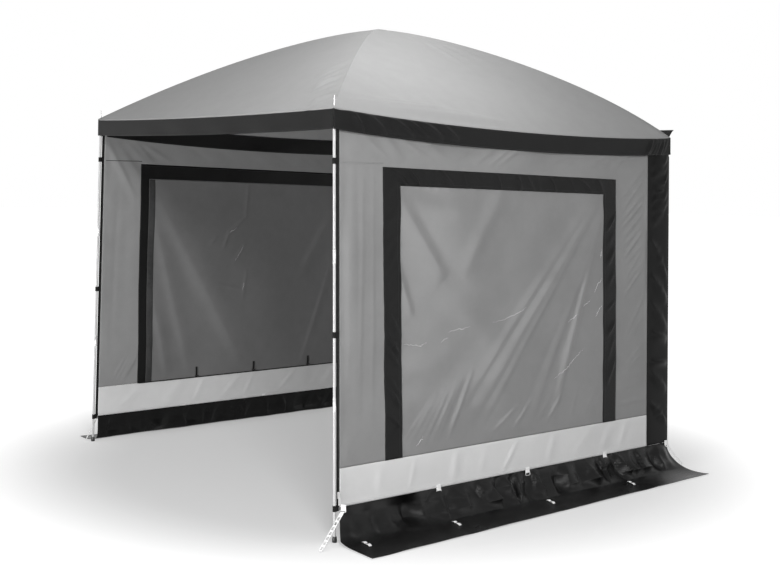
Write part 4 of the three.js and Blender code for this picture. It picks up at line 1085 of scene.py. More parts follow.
def inner_band(name, side):
    """The narrower black band inside the wall, which hides the edges of the clear sheet."""
    y, h, run, width = u_band(INNER_SIDE, INNER_TOP, WINDOW_FRONT - INNER_OUT, WINDOW_REAR + INNER_OUT)
    cloth("inner_band_" + name, on_wall(name, y, h, INNER_LAYER), (-side, 0, 0), black_cloth,
          thickness=0.001, uv=(run, width))


# %% Clear sheet and blind
SHEET_TUCK = 0.004
BLIND_INSET = 0.050
BLIND_DROP = 0.084
BLIND_FOOT = SILL + 0.002


def clear_window(name, side):
    """The clear sheet fills the opening and is tucked a little under the cloth around it."""
    y, h = inside_grid(PANE_FRONT - SHEET_TUCK, PANE_REAR + SHEET_TUCK, LAP - SHEET_TUCK, SILL)
    cloth("clear_sheet_" + name, on_wall(name, y, h, SHEET_LAYER), (side, 0, 0), clear_sheet,
          thickness=0.0005, uv=(y, h), replaces=["window_pane_" + name])


def hang_blind(name, side):
    """The grey blind behind the clear sheet, on a body of its own."""
    y, h = inside_grid(WINDOW_FRONT + BLIND_INSET, WINDOW_REAR - BLIND_INSET, BLIND_DROP, BLIND_FOOT)
    blind = cloth("blind_" + name + "_cloth", on_wall(name, y, h, BLIND_LAYER), (-side, 0, 0), blind_cloth,
                  thickness=0.0009, uv=(y, h), body="blind_" + name, replaces=["window_blind_" + name],
                  held="hung", on=["wall_" + name])
    foot = wall_points(side, 0.0, BLIND_FOOT, 0.0)
    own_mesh(blind)


# %% Edge tapes and lining
TAPE_NEAR, TAPE_FAR = 0.046, 0.086


def edge_tapes(name, side):
    """Narrow strips down both sides of the blind, with a ragged inner face."""
    for end, edge, way in (("front", WINDOW_FRONT, 1), ("rear", WINDOW_REAR, -1)):
        across, up = unit_grid(9, 200)
        y = lerp(edge + way * TAPE_NEAR, edge + way * TAPE_FAR, across)
        h = lerp(BLIND_FOOT, window_top(y) - INNER_TOP, up)
        ragged = np.abs(0.0022 * ripple(h, y, 35, 9, 0.06, 1.0)) * np.sin(pi * across)
        points = wall_points(side, y, h, wall_depth(name, y, h) + TAPE_LAYER - ragged)
        cloth(f"edge_tape_{end}_{name}", points, (-side, 0, 0), edge_cloth, thickness=0.0008,
              uv=(h, 0.037 * across), on=["inner_band_" + name])


def eave_lining(name, side):
    """A black strip inside the wall's top, behind the eave band."""
    y, share = np.meshgrid(np.linspace(-1.085, SEAL_FRONT - 0.001, 260), np.linspace(0, 1, 14))
    foot = up_slope(eave_underside(HALF, y)) - BAND
    h = lerp(foot, wall_top(y) - 0.003, share)
    cloth("eave_lining_" + name, on_wall(name, y, h, INNER_LAYER), (-side, 0, 0), black_cloth,
          thickness=0.001, uv=(y, share * BAND))


# %% Seam cords
SEAM_HEIGHT = 1.647
SEAM_CORD, SILL_CORD = 0.0016, 0.0028
CORD_SIDES = 8


def seam_cords(name):
    """Round cords: a seam from leg to window on both faces of the wall, and one along the sill."""
    y = np.linspace(-1.09, WINDOW_FRONT - 0.001, 30)
    h = np.full(len(y), up_slope(SEAM_HEIGHT))
    for label, off, material in (("inside", -0.0012, tape_cloth), ("outside", 0.0012, wall_cloth)):
        cord = tube_mesh(on_wall(name, y, h, off), SEAM_CORD, CORD_SIDES)
        closed_piece(f"seam_cord_{label}_{name}", [cord], material)
    y = np.linspace(WINDOW_FRONT + 0.002, WINDOW_REAR - 0.002, 160)
    h = np.full(len(y), SILL + 0.001)
    cord = tube_mesh(on_wall(name, y, h, SILL_CORD_LAYER), SILL_CORD, CORD_SIDES)
    closed_piece("sill_cord_" + name, [cord], tape_cloth)


# %% Dress both windows
for name, side in SIDES.items():
    surround(name, side)
    inner_band(name, side)
    clear_window(name, side)
    hang_blind(name, side)
    edge_tapes(name, side)
    eave_lining(name, side)
    seam_cords(name)
print("windows dressed")

# %% [markdown]
# Light that glints along the creases of the clear sheet is painted white. A texture could paint it, but a
# crease is a thing with a place, so each glint is a thin white thread over a few stops on the sheet. The
# left threads lie inside the blind, because the camera sees that window from within. They ride on the
# awning, so they stay in their places when the blind is down.

# %% Painted glints on the creases of the clear sheet
CREASES = {
    "right": [
        ((-0.19, 0.901), (-0.097, 0.912), (-0.027, 0.933), (0.035, 0.962)),
        ((0.33, 0.868), (0.40, 0.905)), ((0.45, 0.940), (0.51, 0.975)),
        ((0.53, 1.007), (0.56, 1.05), (0.592, 1.076)), ((0.54, 0.88), (0.592, 0.941)),
        ((0.229, 0.586), (0.318, 0.631), (0.395, 0.686), (0.46, 0.726)),
        ((-0.75, 0.836), (-0.66, 0.823), (-0.61, 0.833)), ((-0.522, 0.831), (-0.48, 0.847)),
        ((-0.478, 0.871), (-0.343, 0.89)), ((0.583, 1.184), (0.592, 1.23)),
        ((-0.77, 1.565), (-0.70, 1.556)), ((-0.20, 1.552), (-0.16, 1.545)), ((-0.68, 0.36), (-0.64, 0.40)),
    ],
    "left": [
        ((-0.20, 1.25), (-0.26, 1.214)), ((-0.212, 1.038), (-0.146, 1.138)),
        ((-0.14, 0.90), (-0.152, 0.85)),
    ],
}
CREASE_LAYERS = {"right": 0.0006, "left": -0.0053}


def crease(name, stops, seed):
    """A painted glint along a crease: a thin white thread that wanders a little between its stops."""
    draw = np.random.default_rng(seed)
    stops = np.array(stops)
    share = np.linspace(0, len(stops) - 1, 8 * len(stops))
    y, h = (np.interp(share, np.arange(len(stops)), stops[:, k]) for k in (0, 1))
    y, h = y + draw.normal(0, 0.0022, len(y)), h + draw.normal(0, 0.0022, len(h))
    radius = 0.0008 * np.sin(pi * np.linspace(0.04, 0.96, len(y))) * draw.uniform(0.5, 1.1, len(y))
    return tube_mesh(on_wall(name, y, h, CREASE_LAYERS[name]), radius, 6)


for name in SIDES:
    threads = [crease(name, stops, 200 + k) for k, stops in enumerate(CREASES[name])]
    closed_piece("crease_glints_" + name, threads, crease_glint_white)
print("creases:", sum(len(found) for found in CREASES.values()))

# %% [markdown]
# Below the sill a pale band closes the wall to the ground. Nothing stretches it, so it gets
# soft diagonals of its own, which calm down at the seam above and at the hem below. It could
# be part of the wall's grid, but as a piece of its own it can have its own cloth and stitches.

# %% Pale ground bands
def ground_grid():
    """Places (y, h) between the zip tape and the seal, from the hem up to the sill."""
    across, up = unit_grid(300, 34)
    h = lerp(BAND_FOOT, SILL - 0.0006, up)
    return lerp(wall_front(h), SEAL_FRONT - SEAM_GAP, across), h


BAND_FOLDS = {
    "right": fan(((-1.08, 0.15), (0.86, 0.15)), ((-0.92, 0.34), (0.98, 0.34)), 9, 31, 0.026, 0.0030, 0.7),
    "left": fan(((-1.08, 0.15), (0.86, 0.15)), ((-0.92, 0.34), (0.98, 0.34)), 9, 32, 0.030, -0.0034, 0.6),
}


def band_depth(name, y, h):
    """The pale band: soft diagonals that calm down at the seam and the hem."""
    held = smooth(wall_front(h), wall_front(h) + 0.04, y) * (1 - smooth(SEAL_FRONT - 0.04, SEAL_FRONT, y))
    above = wall_depth(name, y, np.full_like(h, SILL)) * smooth(BAND_FOOT, SILL, h)
    calm = np.sin(pi * np.clip((h - BAND_FOOT) / (SILL - BAND_FOOT), 0, 1)) ** 0.7
    return above + held * calm * (folds(y, h, BAND_FOLDS[name]) + ripple(y, h, 51, 10, 0.4, 0.0014))


for name, side in SIDES.items():
    y, h = ground_grid()
    seam = 0.0008 * smooth(0.006, 0.009, SILL - h)
    hem = 0.0009 * (1 - smooth(BAND_FOOT + 0.014, BAND_FOOT + 0.017, h))
    points = wall_points(side, y, h, band_depth(name, y, h) + 0.0004 + (seam + hem))
    cloth("pale_band_" + name, points, (side, 0, 0), pale_cloth, uv=(y, h - BAND_FOOT),
          replaces=["ground_band_" + name], held="hung", on=["wall_" + name])
print("pale bands sewn on")

# %% [markdown]
# Along the rear edge of each wall a padded strip presses on the van. It is a foam core in a
# black sleeve: a long closed form with a rounded section that bulges a little between its
# seams. Below the rear eave band it reaches a little further back than the band.

# %% Padded seals
SEAL_THICK = 0.016
SEAL_STEP = 0.004
SEAL_SIDES = 56
SEAL_PULLS = (
    fan(((1.12, 1.82), (1.12, 1.45)), ((0.98, 1.68), (0.98, 1.28)), 6, 33, 0.014, 0.0160, 0.6)
    + fan(((0.97, 1.30), (0.97, 0.30)), ((1.12, 1.16), (1.12, 0.22)), 7, 34, 0.022, 0.0160, 0.6)
)


def superellipse(wave, power):
    """A cosine or sine raised to a power with its sign kept: powers below 1 square the corners."""
    return np.sign(wave) * np.abs(wave) ** power


def seal_form(side):
    """A rounded section, a superellipse in depth and y, carried up the wall; its ends close in."""
    turns = np.arange(SEAL_SIDES) * 2 * pi / SEAL_SIDES
    foot_rings, top_rings = [0.0, 0.0006, 0.002, 0.005], [0.995, 0.998, 0.9994, 1.0]
    up = np.concatenate([foot_rings, np.linspace(0.012, 0.988, 170), top_rings])
    angle, up = np.meshgrid(turns, up)
    end = 1 - np.minimum(up, 1 - up) / 0.012
    close = np.minimum(1, np.sqrt(np.clip(1 - end ** 2, 0, 1)) + 0.02)
    close = np.where((up > 0.012) & (up < 0.988), 1.0, close)
    wide = superellipse(np.cos(angle), 0.42)
    thick = superellipse(np.sin(angle), 0.8)
    middle = (SEAL_FRONT + SEAL_REAR) / 2
    half_wide = (SEAL_REAR - SEAL_FRONT) / 2
    y = middle + half_wide * wide * (0.985 + 0.015 * close)
    top = wall_top(y)
    h = BAND_FOOT + (top - BAND_FOOT) * up
    below = 1 - smooth(-0.108, -0.098, h - top)
    y = y + SEAL_STEP * below * smooth(0.2, 1, wide)
    bulge = 0.86 + 0.14 * np.cos(pi * wide / 2) + 0.05 * ripple(y, h, 61, 8, 0.24, 1.0)
    pulls = folds(y, h, SEAL_PULLS)
    depth = SEAL_THICK / 2 * thick * bulge * close + pulls * np.abs(thick)
    return (wall_points(side, y, h, depth).reshape(-1, 3), *closed_rings(*y.shape))


for name, side in SIDES.items():
    seal = closed_piece("seal_pad_" + name, [seal_form(side)], seal_cloth, replaces=["van_seal_" + name])
print("seal pads:", round(SEAL_REAR - SEAL_FRONT, 3), "m wide")

# %% [markdown]
# The front edge of a wall closes on the leg with a zip. Its tape is narrow and black, and its
# teeth are two rows of small blocks that mesh. There are hundreds of teeth, so they are plain
# boxes made in one array, with no loop over them.

# %% Zip tapes and their teeth
TAPE_TOP = EAVE_SLOPE - 0.024
TOOTH_PITCH = 0.0034
TOOTH_OFF = 0.0011
TOOTH_SIZE = (0.0016, 0.0034, 0.0013)


def wall_axes(side):
    """Directions outwards from the wall, along y and up its slope."""
    return np.array([[side * cos(TILT), 0, sin(TILT)], [0, 1, 0], [-side * sin(TILT), 0, cos(TILT)]])


for name, side in SIDES.items():
    across, up = unit_grid(9, 180)
    h = lerp(BAND_FOOT, TAPE_TOP, up)
    y = tape_front(h) + TAPE_WIDE * across
    wave = 0.0006 * np.sin(pi * across) * ripple(y, h, 71, 8, 0.1, 1.0)
    cloth("zip_tape_" + name + "_cloth", wall_points(side, y, h, wave + 0.0004), (side, 0, 0), tape_cloth,
          thickness=0.001, uv=(h, TAPE_WIDE * across), replaces=["zip_tape_" + name])
    rise = np.arange(BAND_FOOT + 0.02, TAPE_TOP - 0.01, TOOTH_PITCH)
    teeth = []
    for offset, shift in ((-TOOTH_OFF, 0.0), (TOOTH_OFF, TOOTH_PITCH / 2)):
        middle = tape_front(rise) + TAPE_WIDE * 0.5 + offset
        centres = wall_points(side, middle, rise + shift, 0.0016)
        teeth.append(many_blocks(centres, wall_axes(side), TOOTH_SIZE))
    closed_piece("zip_teeth_" + name, teeth, black_nylon, smooth=False)
print("zip teeth a side:", 2 * len(rise))

# %% [markdown]
# The mud skirt falls from the foot of the wall and spreads over the ground. Its section is
# a share table: how far out and how far down the cloth is, from the seam to the outer edge.
# Where it turns from falling to lying it breaks into flat facets between ridges and valleys,
# made by joining leaning knots with straight lines, and the peg loops hold it flat.

# %% Mud skirts
LEFT_SECTION = ((0, 1), (0, 0.8), (0, 0.6), (0, 0.4), (0.01, 0.2), (0.06, 0.02), (0.5, 0), (1, 0))
SKIRTS = {
    "right": {
        "spread": (0.283, 0.217), "tail": 0.089, "tip": 0.012, "lift": 0.078, "busy": (0.22, 0.78),
        "front": ((0, 1), (0, 0.84), (0, 0.66), (0.06, 0.38),
                  (0.17, 0.14), (0.35, 0.02), (0.65, 0), (1, 0)),
        "rear": ((0, 1), (0, 0.86), (0.03, 0.68), (0.12, 0.46),
                 (0.28, 0.24), (0.50, 0.07), (0.76, 0), (1, 0)),
    },
    "left": {
        "spread": (0.150, 0.130), "tail": 0.089, "tip": 0.012, "lift": 0.036, "busy": (0.6, 0.0),
        "front": LEFT_SECTION, "rear": LEFT_SECTION,
    },
}
LOOPS = (-1.075, -0.553, 0.068, 0.668)
LEG_FOOT_Y = -WALL_TOP_HALF - FRONT_SPLAY
SEAM_Z = 0.1497
LYING_Z = 0.0030


def along_table(table, v):
    """Smooth reading of a share table: each column is interpolated, then averaged over a short reach."""
    table = np.asarray(table, dtype=float)
    place = np.linspace(0, 1, len(table))
    inside = np.minimum(1, np.minimum(v, 1 - v) / 0.06)
    reads = [np.clip(v + r * inside, 0, 1) for r in np.linspace(-0.06, 0.06, 7)]
    return [np.mean([np.interp(read, place, column) for read in reads], axis=0) for column in table.T]


def facets(y, v, seed, spacing, lean):
    """Flat facets between ridges and valleys: knots along y lean with v, and straight lines join them."""
    draw = np.random.default_rng(seed)
    count = int(3.0 / spacing)
    knots = np.cumsum(draw.uniform(0.55, 1.45, count)) * spacing - 1.5
    leans = draw.uniform(-lean, lean, count)
    heights = np.where(np.arange(count) % 2, draw.uniform(0.45, 1, count), draw.uniform(-0.2, 0.15, count))
    total = np.zeros(np.broadcast(y, v).shape)
    for k in range(count - 1):
        start = knots[k] + leans[k] * v
        end = np.maximum(knots[k + 1] + leans[k + 1] * v, start + 0.01)
        share = (y - start) / (end - start)
        total = np.where((share >= 0) & (share < 1), lerp(heights[k], heights[k + 1], share), total)
    return total


def skirt_points(name, u, v):
    """The skirt's face: the section runs from the seam to the outer edge, u from front to rear."""
    side, sizes = SIDES[name], SKIRTS[name]
    out_front, fall_front = along_table(sizes["front"], v)
    out_rear, fall_rear = along_table(sizes["rear"], v)
    fall, share = lerp(fall_front, fall_rear, u), lerp(out_front, out_rear, u)
    out = share * lerp(*sizes["spread"], u)
    ahead = np.minimum(1, out / 0.060)
    front = lerp(wall_front(BAND_FOOT), LEG_FOOT_Y - sizes["tip"], ahead)
    y = front + (SEAL_REAR - front) * u
    pegged = np.prod([np.minimum(1, np.abs(y - loop - 0.008) / 0.075) ** 2 for loop in LOOPS], axis=0)
    rise = np.clip(np.minimum(v / 0.50, (0.66 - v) / 0.15), 0, 1)
    high = np.clip(np.minimum((v - 0.06) / 0.24, (0.50 - v) / 0.20), 0, 1)
    busy = sizes["busy"][0] + sizes["busy"][1] * smooth(0.16, 0.34, u)
    lift = sizes["lift"] * (rise * busy * facets(y, v, 82 + int(side), 0.062, 0.10)
                            + 0.40 * high * busy * facets(y, v, 86 + int(side), 0.080, 0.22)
                            + 0.35 * rise * ripple(y, v * 0.08, 95, 7, 0.22, 1.0))
    flat = smooth(0.5, 0.75, v) * (0.25 + 0.75 * pegged)
    apron = flat * (0.0012 + 0.0012 * (1 + ripple(y, out, 97, 9, 0.3, 0.6)))
    edge = smooth(0.0, 0.03, u) * (1 - smooth(0.97, 1.0, u))
    z = LYING_Z + (SEAM_Z - LYING_Z) * fall
    x = wall_x(z) + 0.0004 + out + lift * (0.5 + 0.5 * fall) * edge
    z = z + np.maximum(apron + 0.4 * np.maximum(lift, 0) * (1 - fall) * edge, 0)
    return points_of(side * x, y + sizes["tail"] * u ** 8 * share, z)


for name, side in SIDES.items():
    u, v = unit_grid(340, 96)
    cloth("skirt_cloth_" + name, skirt_points(name, u, v), (side, 0, 1), skirt_cloth, thickness=0.001,
          uv=(u * 2.3, v * 0.4), replaces=["skirt_" + name], held="draped", on=["pale_band_" + name])
print("skirts spread", SKIRTS["right"]["spread"], "and", SKIRTS["left"]["spread"])

# %% [markdown]
# The frame under the cloth: four glass-fibre poles arch from a hub to the corners, and legs
# of rod joined by ferrules stand at the corners. Each is a circle carried along a path that
# keeps its clearance square to the ridge.

# %% Where the poles and legs run
ROD = 0.00635
POLE_CLEARANCE = 0.0162
REAR_INSET = 0.019
SOCKET = 0.0092
SOCKET_LONG = 0.042
JOINS = (1.243, 0.600)


def pole_point(reach, sx, sy):
    """A point of a pole's middle line, a fixed distance under the ridge."""
    reach = np.asarray(reach, dtype=float)
    x, y = sx * reach * HALF, sy * reach * HALF
    z = roof_height(x, y)
    step = 1e-3
    slope = (roof_height(x * (1 - step), y * (1 - step)) - z) / (step * np.hypot(x, y))
    return np.stack([x, y, z - POLE_CLEARANCE * np.hypot(1, slope)], -1)


def corner_frame(sx, sy):
    """Top and foot of a leg, and the directions down the leg and up the pole."""
    inset = 0 if sy < 0 else REAR_INSET
    plan = WALL_TOP_HALF - inset
    top = pole_point(plan / HALF, sx, sy)
    top[1] = sy * plan
    top[0] = sx * (wall_x(top[2]) - inset)
    foot = np.array([sx * (WALL_FOOT_HALF - inset), LEG_FOOT_Y if sy < 0 else sy * plan, 0.0])
    down = (foot - top) / np.linalg.norm(foot - top)
    inward = pole_point(0.93, sx, sy) - top
    return {"top": top + CENTRE, "foot": foot + CENTRE, "down": down,
            "inward": inward / np.linalg.norm(inward), "sx": sx, "sy": sy}


CORNERS = {f"{end}_{name}": corner_frame(side, way)
           for end, way in (("front", -1), ("rear", 1)) for name, side in SIDES.items()}


def on_leg(corner, height):
    """The point of a leg at a level height."""
    share = (corner["top"][2] - height) / (corner["top"][2] - corner["foot"][2])
    return lerp(corner["top"], corner["foot"], share)


def rounded_rod(radius, low, high, round_by=0.0015):
    """Profile of a turned rod with rounded ends."""
    turn = np.linspace(0, pi / 2, 5)
    start = np.stack([radius - round_by * (1 - np.sin(turn)), low + round_by * (1 - np.cos(turn))], -1)
    end = np.stack([start[::-1, 0], high - (start[::-1, 1] - low)], -1)
    return np.concatenate([[[0, low]], start, end, [[0, high]]])


def rod_between(start, end, radius, round_by=0.0006, sides=28):
    """A turned rod from one point to another."""
    length = float(np.linalg.norm(end - start))
    return turned(rounded_rod(radius, 0, length, round_by), sides, start, (end - start) / length)


# %% [markdown]
# The poles plug into sockets: a moulded joint at each corner and a hub under the peak. A
# socket is a lathe form, a profile of radii turned about the pole's own direction, so one
# profile serves every arm.

# %% Roof poles, hub, corner joints and pins
HUB_Z = PEAK - ROOF_CLOTH - POLE_CLEARANCE
SOCKET_BORE = 0.0070
HUB_MIDDLE = CENTRE + np.array([0, 0, HUB_Z])


def outward_of(corner):
    """Level direction from the middle to a corner."""
    return np.array([corner["sx"], corner["sy"], 0]) / np.sqrt(2)


for name, corner in CORNERS.items():
    hub_end = [HUB_MIDDLE + far * outward_of(corner) for far in (0.022, 0.04, 0.060)]
    arch = pole_point(np.linspace(0.1, 0.93, 40), corner["sx"], corner["sy"]) + CENTRE
    corner_end = [corner["top"] + far * corner["inward"] for far in (0.050, 0.0093)]
    path = np.concatenate([hub_end, arch, corner_end])
    closed_piece("pole_" + name, [tube_mesh(path, ROD, 20)], fibre_rod, replaces=["roof_pole_" + name])
    ball = np.linspace(-pi / 2, pi / 2, 17)
    ball = np.stack([SOCKET * 1.12 * np.cos(ball), SOCKET * 1.12 * np.sin(ball)], -1)
    arm = [[0, 0.002], [SOCKET, 0.002], [SOCKET, 0.036], [SOCKET * 1.1, 0.037], [SOCKET * 1.1, 0.041],
           [SOCKET * 1.05, SOCKET_LONG], [SOCKET_BORE, SOCKET_LONG], [SOCKET_BORE, 0.03], [0, 0.03]]
    arms = [turned(arm, 28, corner["top"], corner[way]) for way in ("down", "inward")]
    closed_piece("joint_" + name, [turned(ball, 28, corner["top"]), *arms], black_nylon,
                 replaces=["corner_joint_" + name])
    if corner["sy"] < 0:
        low, high = corner["top"][2] + 0.003, EAVE + 0.050
        pin = [[0, low], [0.0037, low], [0.0037, high - 0.03], [0.0033, high - 0.004],
               [0.0018, high - 0.0006], [0, high]]
        base = np.array([corner["top"][0], corner["top"][1], 0])
        closed_piece("pin_" + name, [turned(pin, 20, base)], steel, replaces=["corner_pin_" + name])
print("poles:", len(CORNERS))

hub_top = float(roof_height(0.017, 0.0)) - ROOF_CLOTH - 0.0012
hub_profile = [[0, hub_top - 0.026], [0.040, hub_top - 0.026], [0.042, hub_top - 0.024],
               [0.042, hub_top - 0.009], [0.040, hub_top - 0.0075], [0.028, hub_top - 0.0035],
               [0.017, hub_top - 0.0002], [0, hub_top]]
stub = [[0, 0.01], [SOCKET, 0.01], [SOCKET, 0.054], [SOCKET * 1.08, 0.055], [SOCKET * 1.08, 0.059],
        [SOCKET_BORE, 0.060], [SOCKET_BORE, 0.045], [0, 0.045]]
stubs = [turned(stub, 28, HUB_MIDDLE, outward_of(corner)) for corner in CORNERS.values()]
closed_piece("hub", [turned(hub_profile, 48, CENTRE), *stubs], black_nylon, replaces=["roof_hub"])
print("hub under the peak at z", round(hub_top, 3))

# %% [markdown]
# Each front leg is three lengths of rod joined by steel ferrules, and each rear leg is one
# rod, hidden behind the seal. A leg could be one cylinder, but the joins show in the light, so
# the lengths have rounded ends and the ferrules a rolled rim.

# %% Legs, ferrules and feet
REAR_CAP = [[0, 0], [0.0105, 0], [0.011, 0.001], [0.011, 0.015], [0.0085, 0.026], [0, 0.026]]
FRONT_CAP = [[0, 0.0002], [0.0098, 0.0002], [0.011, 0.0014], [0.011, 0.012], [0.0104, 0.015],
             [0.0092, 0.0255], [0.0086, 0.026], [0.0072, 0.026], [0.0072, 0.004], [0, 0.004]]
FERRULE = [[0.0064, -0.03], [0.0076, -0.03], [0.0080, -0.029], [0.0080, -0.026], [0.0075, -0.025],
           [0.0075, 0.025], [0.0080, 0.026], [0.0080, 0.029], [0.0076, 0.03], [0.0064, 0.03]]

for name, corner in CORNERS.items():
    top = corner["top"] + 0.0093 * corner["down"]
    foot = on_leg(corner, 0.0046)
    if corner["sy"] > 0:
        parts = [rod_between(top, foot, ROD), turned(REAR_CAP, 28, corner["foot"])]
        closed_piece("leg_" + name + "_rod", parts, fibre_rod, replaces=["leg_" + name])
        continue
    stops = [top, on_leg(corner, JOINS[0]), on_leg(corner, JOINS[1]), foot]
    for part, start, end in zip(("upper", "middle", "lower"), stops[:-1], stops[1:]):
        closed_piece("leg_" + part + "_" + name + "_rod", [rod_between(start, end, ROD)], leg_rod,
                     replaces=["leg_" + part + "_" + name])
    sleeves = [turned(FERRULE, 28, on_leg(corner, height), corner["down"]) for height in JOINS]
    closed_piece("ferrules_" + name, sleeves, steel)
    closed_piece("foot_" + name, [turned(FRONT_CAP, 28, corner["foot"])], black_nylon,
                 replaces=["foot_cap_" + name])
print("legs stand on", round(float(foot[2]), 4))

# %% [markdown]
# Three webbing straps on each side hold the zip's tape to the front leg. A strap is a section
# round the rod, an arc with two tails that meet behind it, carried up by the webbing's width.

# %% Leg straps
STRAP_HEIGHTS = (1.652, 0.905, 0.148)
STRAP_WIDE = 0.026


def strap_path(y, half_gap):
    """Round the leg from the wall side and back: an arc and two straight tails towards the tape."""
    angle = np.linspace(-0.62 * pi, 0.62 * pi, 26) + pi
    arc = np.stack([half_gap * np.sin(angle), y + half_gap * np.cos(angle)], -1)
    tail = 0.022
    first = np.array([[-0.0016, y + tail], [-0.0020, y + tail * 0.8], [-0.0034, y + tail * 0.58]])
    last = np.array([[0.0034, y + tail * 0.58], [0.0020, y + tail * 0.8], [0.0016, y + tail]])
    start, end = (first, last) if arc[0, 0] < 0 else (last, first)
    return np.concatenate([start, arc, end[::-1] if end[0, 1] > end[-1, 1] else end])


for name, side in SIDES.items():
    for label, height in zip(("top", "middle", "foot"), STRAP_HEIGHTS):
        low = up_slope(height)
        path = strap_path(float(leg_y(low)), ROD + 0.0012)
        share, stop = np.meshgrid(np.linspace(-0.5, 0.5, 9), np.arange(len(path)))
        points = wall_points(side, path[stop, 1], low + STRAP_WIDE * share, path[stop, 0])
        cloth(f"leg_strap_{label}_{name}", points, (side, -1, 0), black_webbing, thickness=0.0011,
              uv=(stop * 0.002, STRAP_WIDE * (share + 0.5)))
print("leg straps:", 2 * len(STRAP_HEIGHTS))

# %% [markdown]
# Webbing tabs are sewn under the pale band, and each is folded round the bar of a steel ring
# that swings on it. A tab is a section carried across its width, and a ring is a wire carried
# round a rounded rectangle. The bore is the line that a ring turns about.

# %% Tabs and rings
TABS = {"front": -0.482 * HALF, "middle": 0.0352 * HALF, "rear": 0.5419 * HALF}
TAB_WIDE = 0.026
BULB = 0.0036
TAB_DEPTH = 0.001 - 0.0004 + BULB
BORE_H = up_slope(FOOT_HEIGHT) + 0.014 - 0.026
RING_WIRE = 0.0015


def tab_path():
    """Section of a tab: down outside the wall, round the ring's bar and up behind itself."""
    angle = np.linspace(0.5 * pi, -1.15 * pi, 22)
    around = np.stack([BULB * np.cos(angle) * 0.92, BULB * np.sin(angle) * 0.92], -1)
    down = np.stack([np.full(9, 0.0004), np.linspace(0.026, 0.0062, 9)], -1)
    neck = np.array([[0.0008, 0.0048]])
    back = np.array([[-0.0030, 0.0045], [-0.0034, 0.010], [-0.0034, 0.018], [-0.0034, 0.0255]])
    return np.concatenate([down, neck, around, back])


def placed(side, local, along, heading=0.0, depth=TAB_DEPTH):
    """Turns places (out, along, up) about the bore by a heading, and moves them to the wall."""
    out, side_way, up = local[..., 0], local[..., 1], local[..., 2]
    turn_out = out * cos(heading) - side_way * sin(heading)
    turn_along = out * sin(heading) + side_way * cos(heading)
    return wall_points(side, along + turn_along, BORE_H + up, depth + turn_out)


def tab(name, side, along, heading=0.0, depth=TAB_DEPTH):
    """A webbing tab: the section carried across its width."""
    path = tab_path()
    width, stop = np.meshgrid(np.linspace(-0.5, 0.5, 11), np.arange(len(path)))
    local = np.stack([path[stop, 0], TAB_WIDE * width, path[stop, 1]], -1)
    cloth(name, placed(side, local, along, heading, depth), (side, 0, 0), white_webbing, thickness=0.0009,
          uv=(TAB_WIDE * (width + 0.5), stop * 0.0015))


def ring_loop(wide, low, corner=0.004):
    """A rounded rectangle in the ring's own plane, from its bar at 0 down to low."""
    half = wide / 2 - corner
    centres = [(half, -corner), (-half, -corner), (-half, low + corner), (half, low + corner)]
    arcs = []
    for k, (a, b) in enumerate(centres):
        angle = np.linspace(k * pi / 2, (k + 1) * pi / 2, 9)
        arcs.append(np.stack([a + corner * np.cos(angle), b + corner * np.sin(angle)], -1))
    return np.concatenate(arcs)


def closed_wire(path, radius, sides=14):
    """A wire carried round a closed path, joined to itself."""
    ahead, behind = np.roll(path, -1, 0), np.roll(path, 1, 0)
    tangent = (ahead - behind) / np.linalg.norm(ahead - behind, axis=1, keepdims=True)
    flat = np.cross(path[1] - path[0], path[len(path) // 3] - path[0])
    flat = flat / np.linalg.norm(flat)
    outward = np.cross(tangent, flat)
    angle = np.arange(sides) * 2 * pi / sides
    ring = np.cos(angle)[None, :, None] * outward[:, None] + np.sin(angle)[None, :, None] * flat
    points = (path[:, None] + radius * ring).reshape(-1, 3)
    return points, grid_quads(len(path), sides, wrap=True, closed=True)


for name, side in SIDES.items():
    for label, along in TABS.items():
        tab(f"tab_{label}_{name}", side, along)
        loop = ring_loop(0.029, -0.016)
        path = wall_points(side, along + loop[:, 0], BORE_H + 0.0015 + loop[:, 1], TAB_DEPTH)
        closed_piece(f"ring_{label}_{name}_wire", [closed_wire(path, RING_WIRE)], white_steel,
                     body=f"ring_{label}_{name}", replaces=[f"ring_{label}_{name}"])
print("tabs and rings:", 2 * len(TABS))

# %% [markdown]
# At each corner a white ladder strap runs down, for a peg. It is moulded plastic with slots and
# fine ribs. Its slots are cells left out of its grid, which is quicker than a boolean cut and
# always leaves clean faces. It turns with its ring about the bar of its own tab.

# %% Ladder straps
HOOK = TAB_WIDE / 2 + 2 * RING_WIRE
LADDERS = {
    "front_right": (0.226, radians(-70), 0.005), "front_left": (0.150, radians(-70), 0.005),
    "rear_right": (0.141, 0.0, 0.050), "rear_left": (0.141, 0.0, 0.050),
}
LADDER_START = BULB + 2 * RING_WIRE + 0.0009
LADDER_HALF = 0.0095
SLOT_LONG, SLOT_WIDE, SLOT_PITCH = 0.018, 0.0115, 0.027
RIB_PITCH = 0.006


def ladder_frame(name):
    """Where a ladder's bar hangs, its heading in the wall's frame and how steeply it falls."""
    length, heading, tip = LADDERS[name]
    corner = CORNERS[name]
    if corner["sy"] < 0:
        depth = 0.001 + HOOK * abs(sin(heading)) + RING_WIRE + 0.0006
        along = float(wall_front(up_slope(FOOT_HEIGHT))) + 2 * BULB
    else:
        depth = SEAL_THICK / 2 + BULB - 0.0004
        along = SEAL_REAR - HOOK
    height = BORE_H * cos(TILT) + depth * sin(TILT)
    fall = np.arcsin((height - tip) / length) + TILT * cos(heading)
    return corner["sx"], length, heading, depth, along, float(fall)


def ladder_points(name, run, across, lift=0.0):
    """Places on a ladder: run along it, across it and a lift off its face."""
    side, length, heading, depth, along, fall = ladder_frame(name)
    out = run * cos(fall) + lift * sin(fall)
    up = -run * sin(fall) + lift * cos(fall)
    return placed(side, np.stack([out, across, up], -1), along, heading, depth)


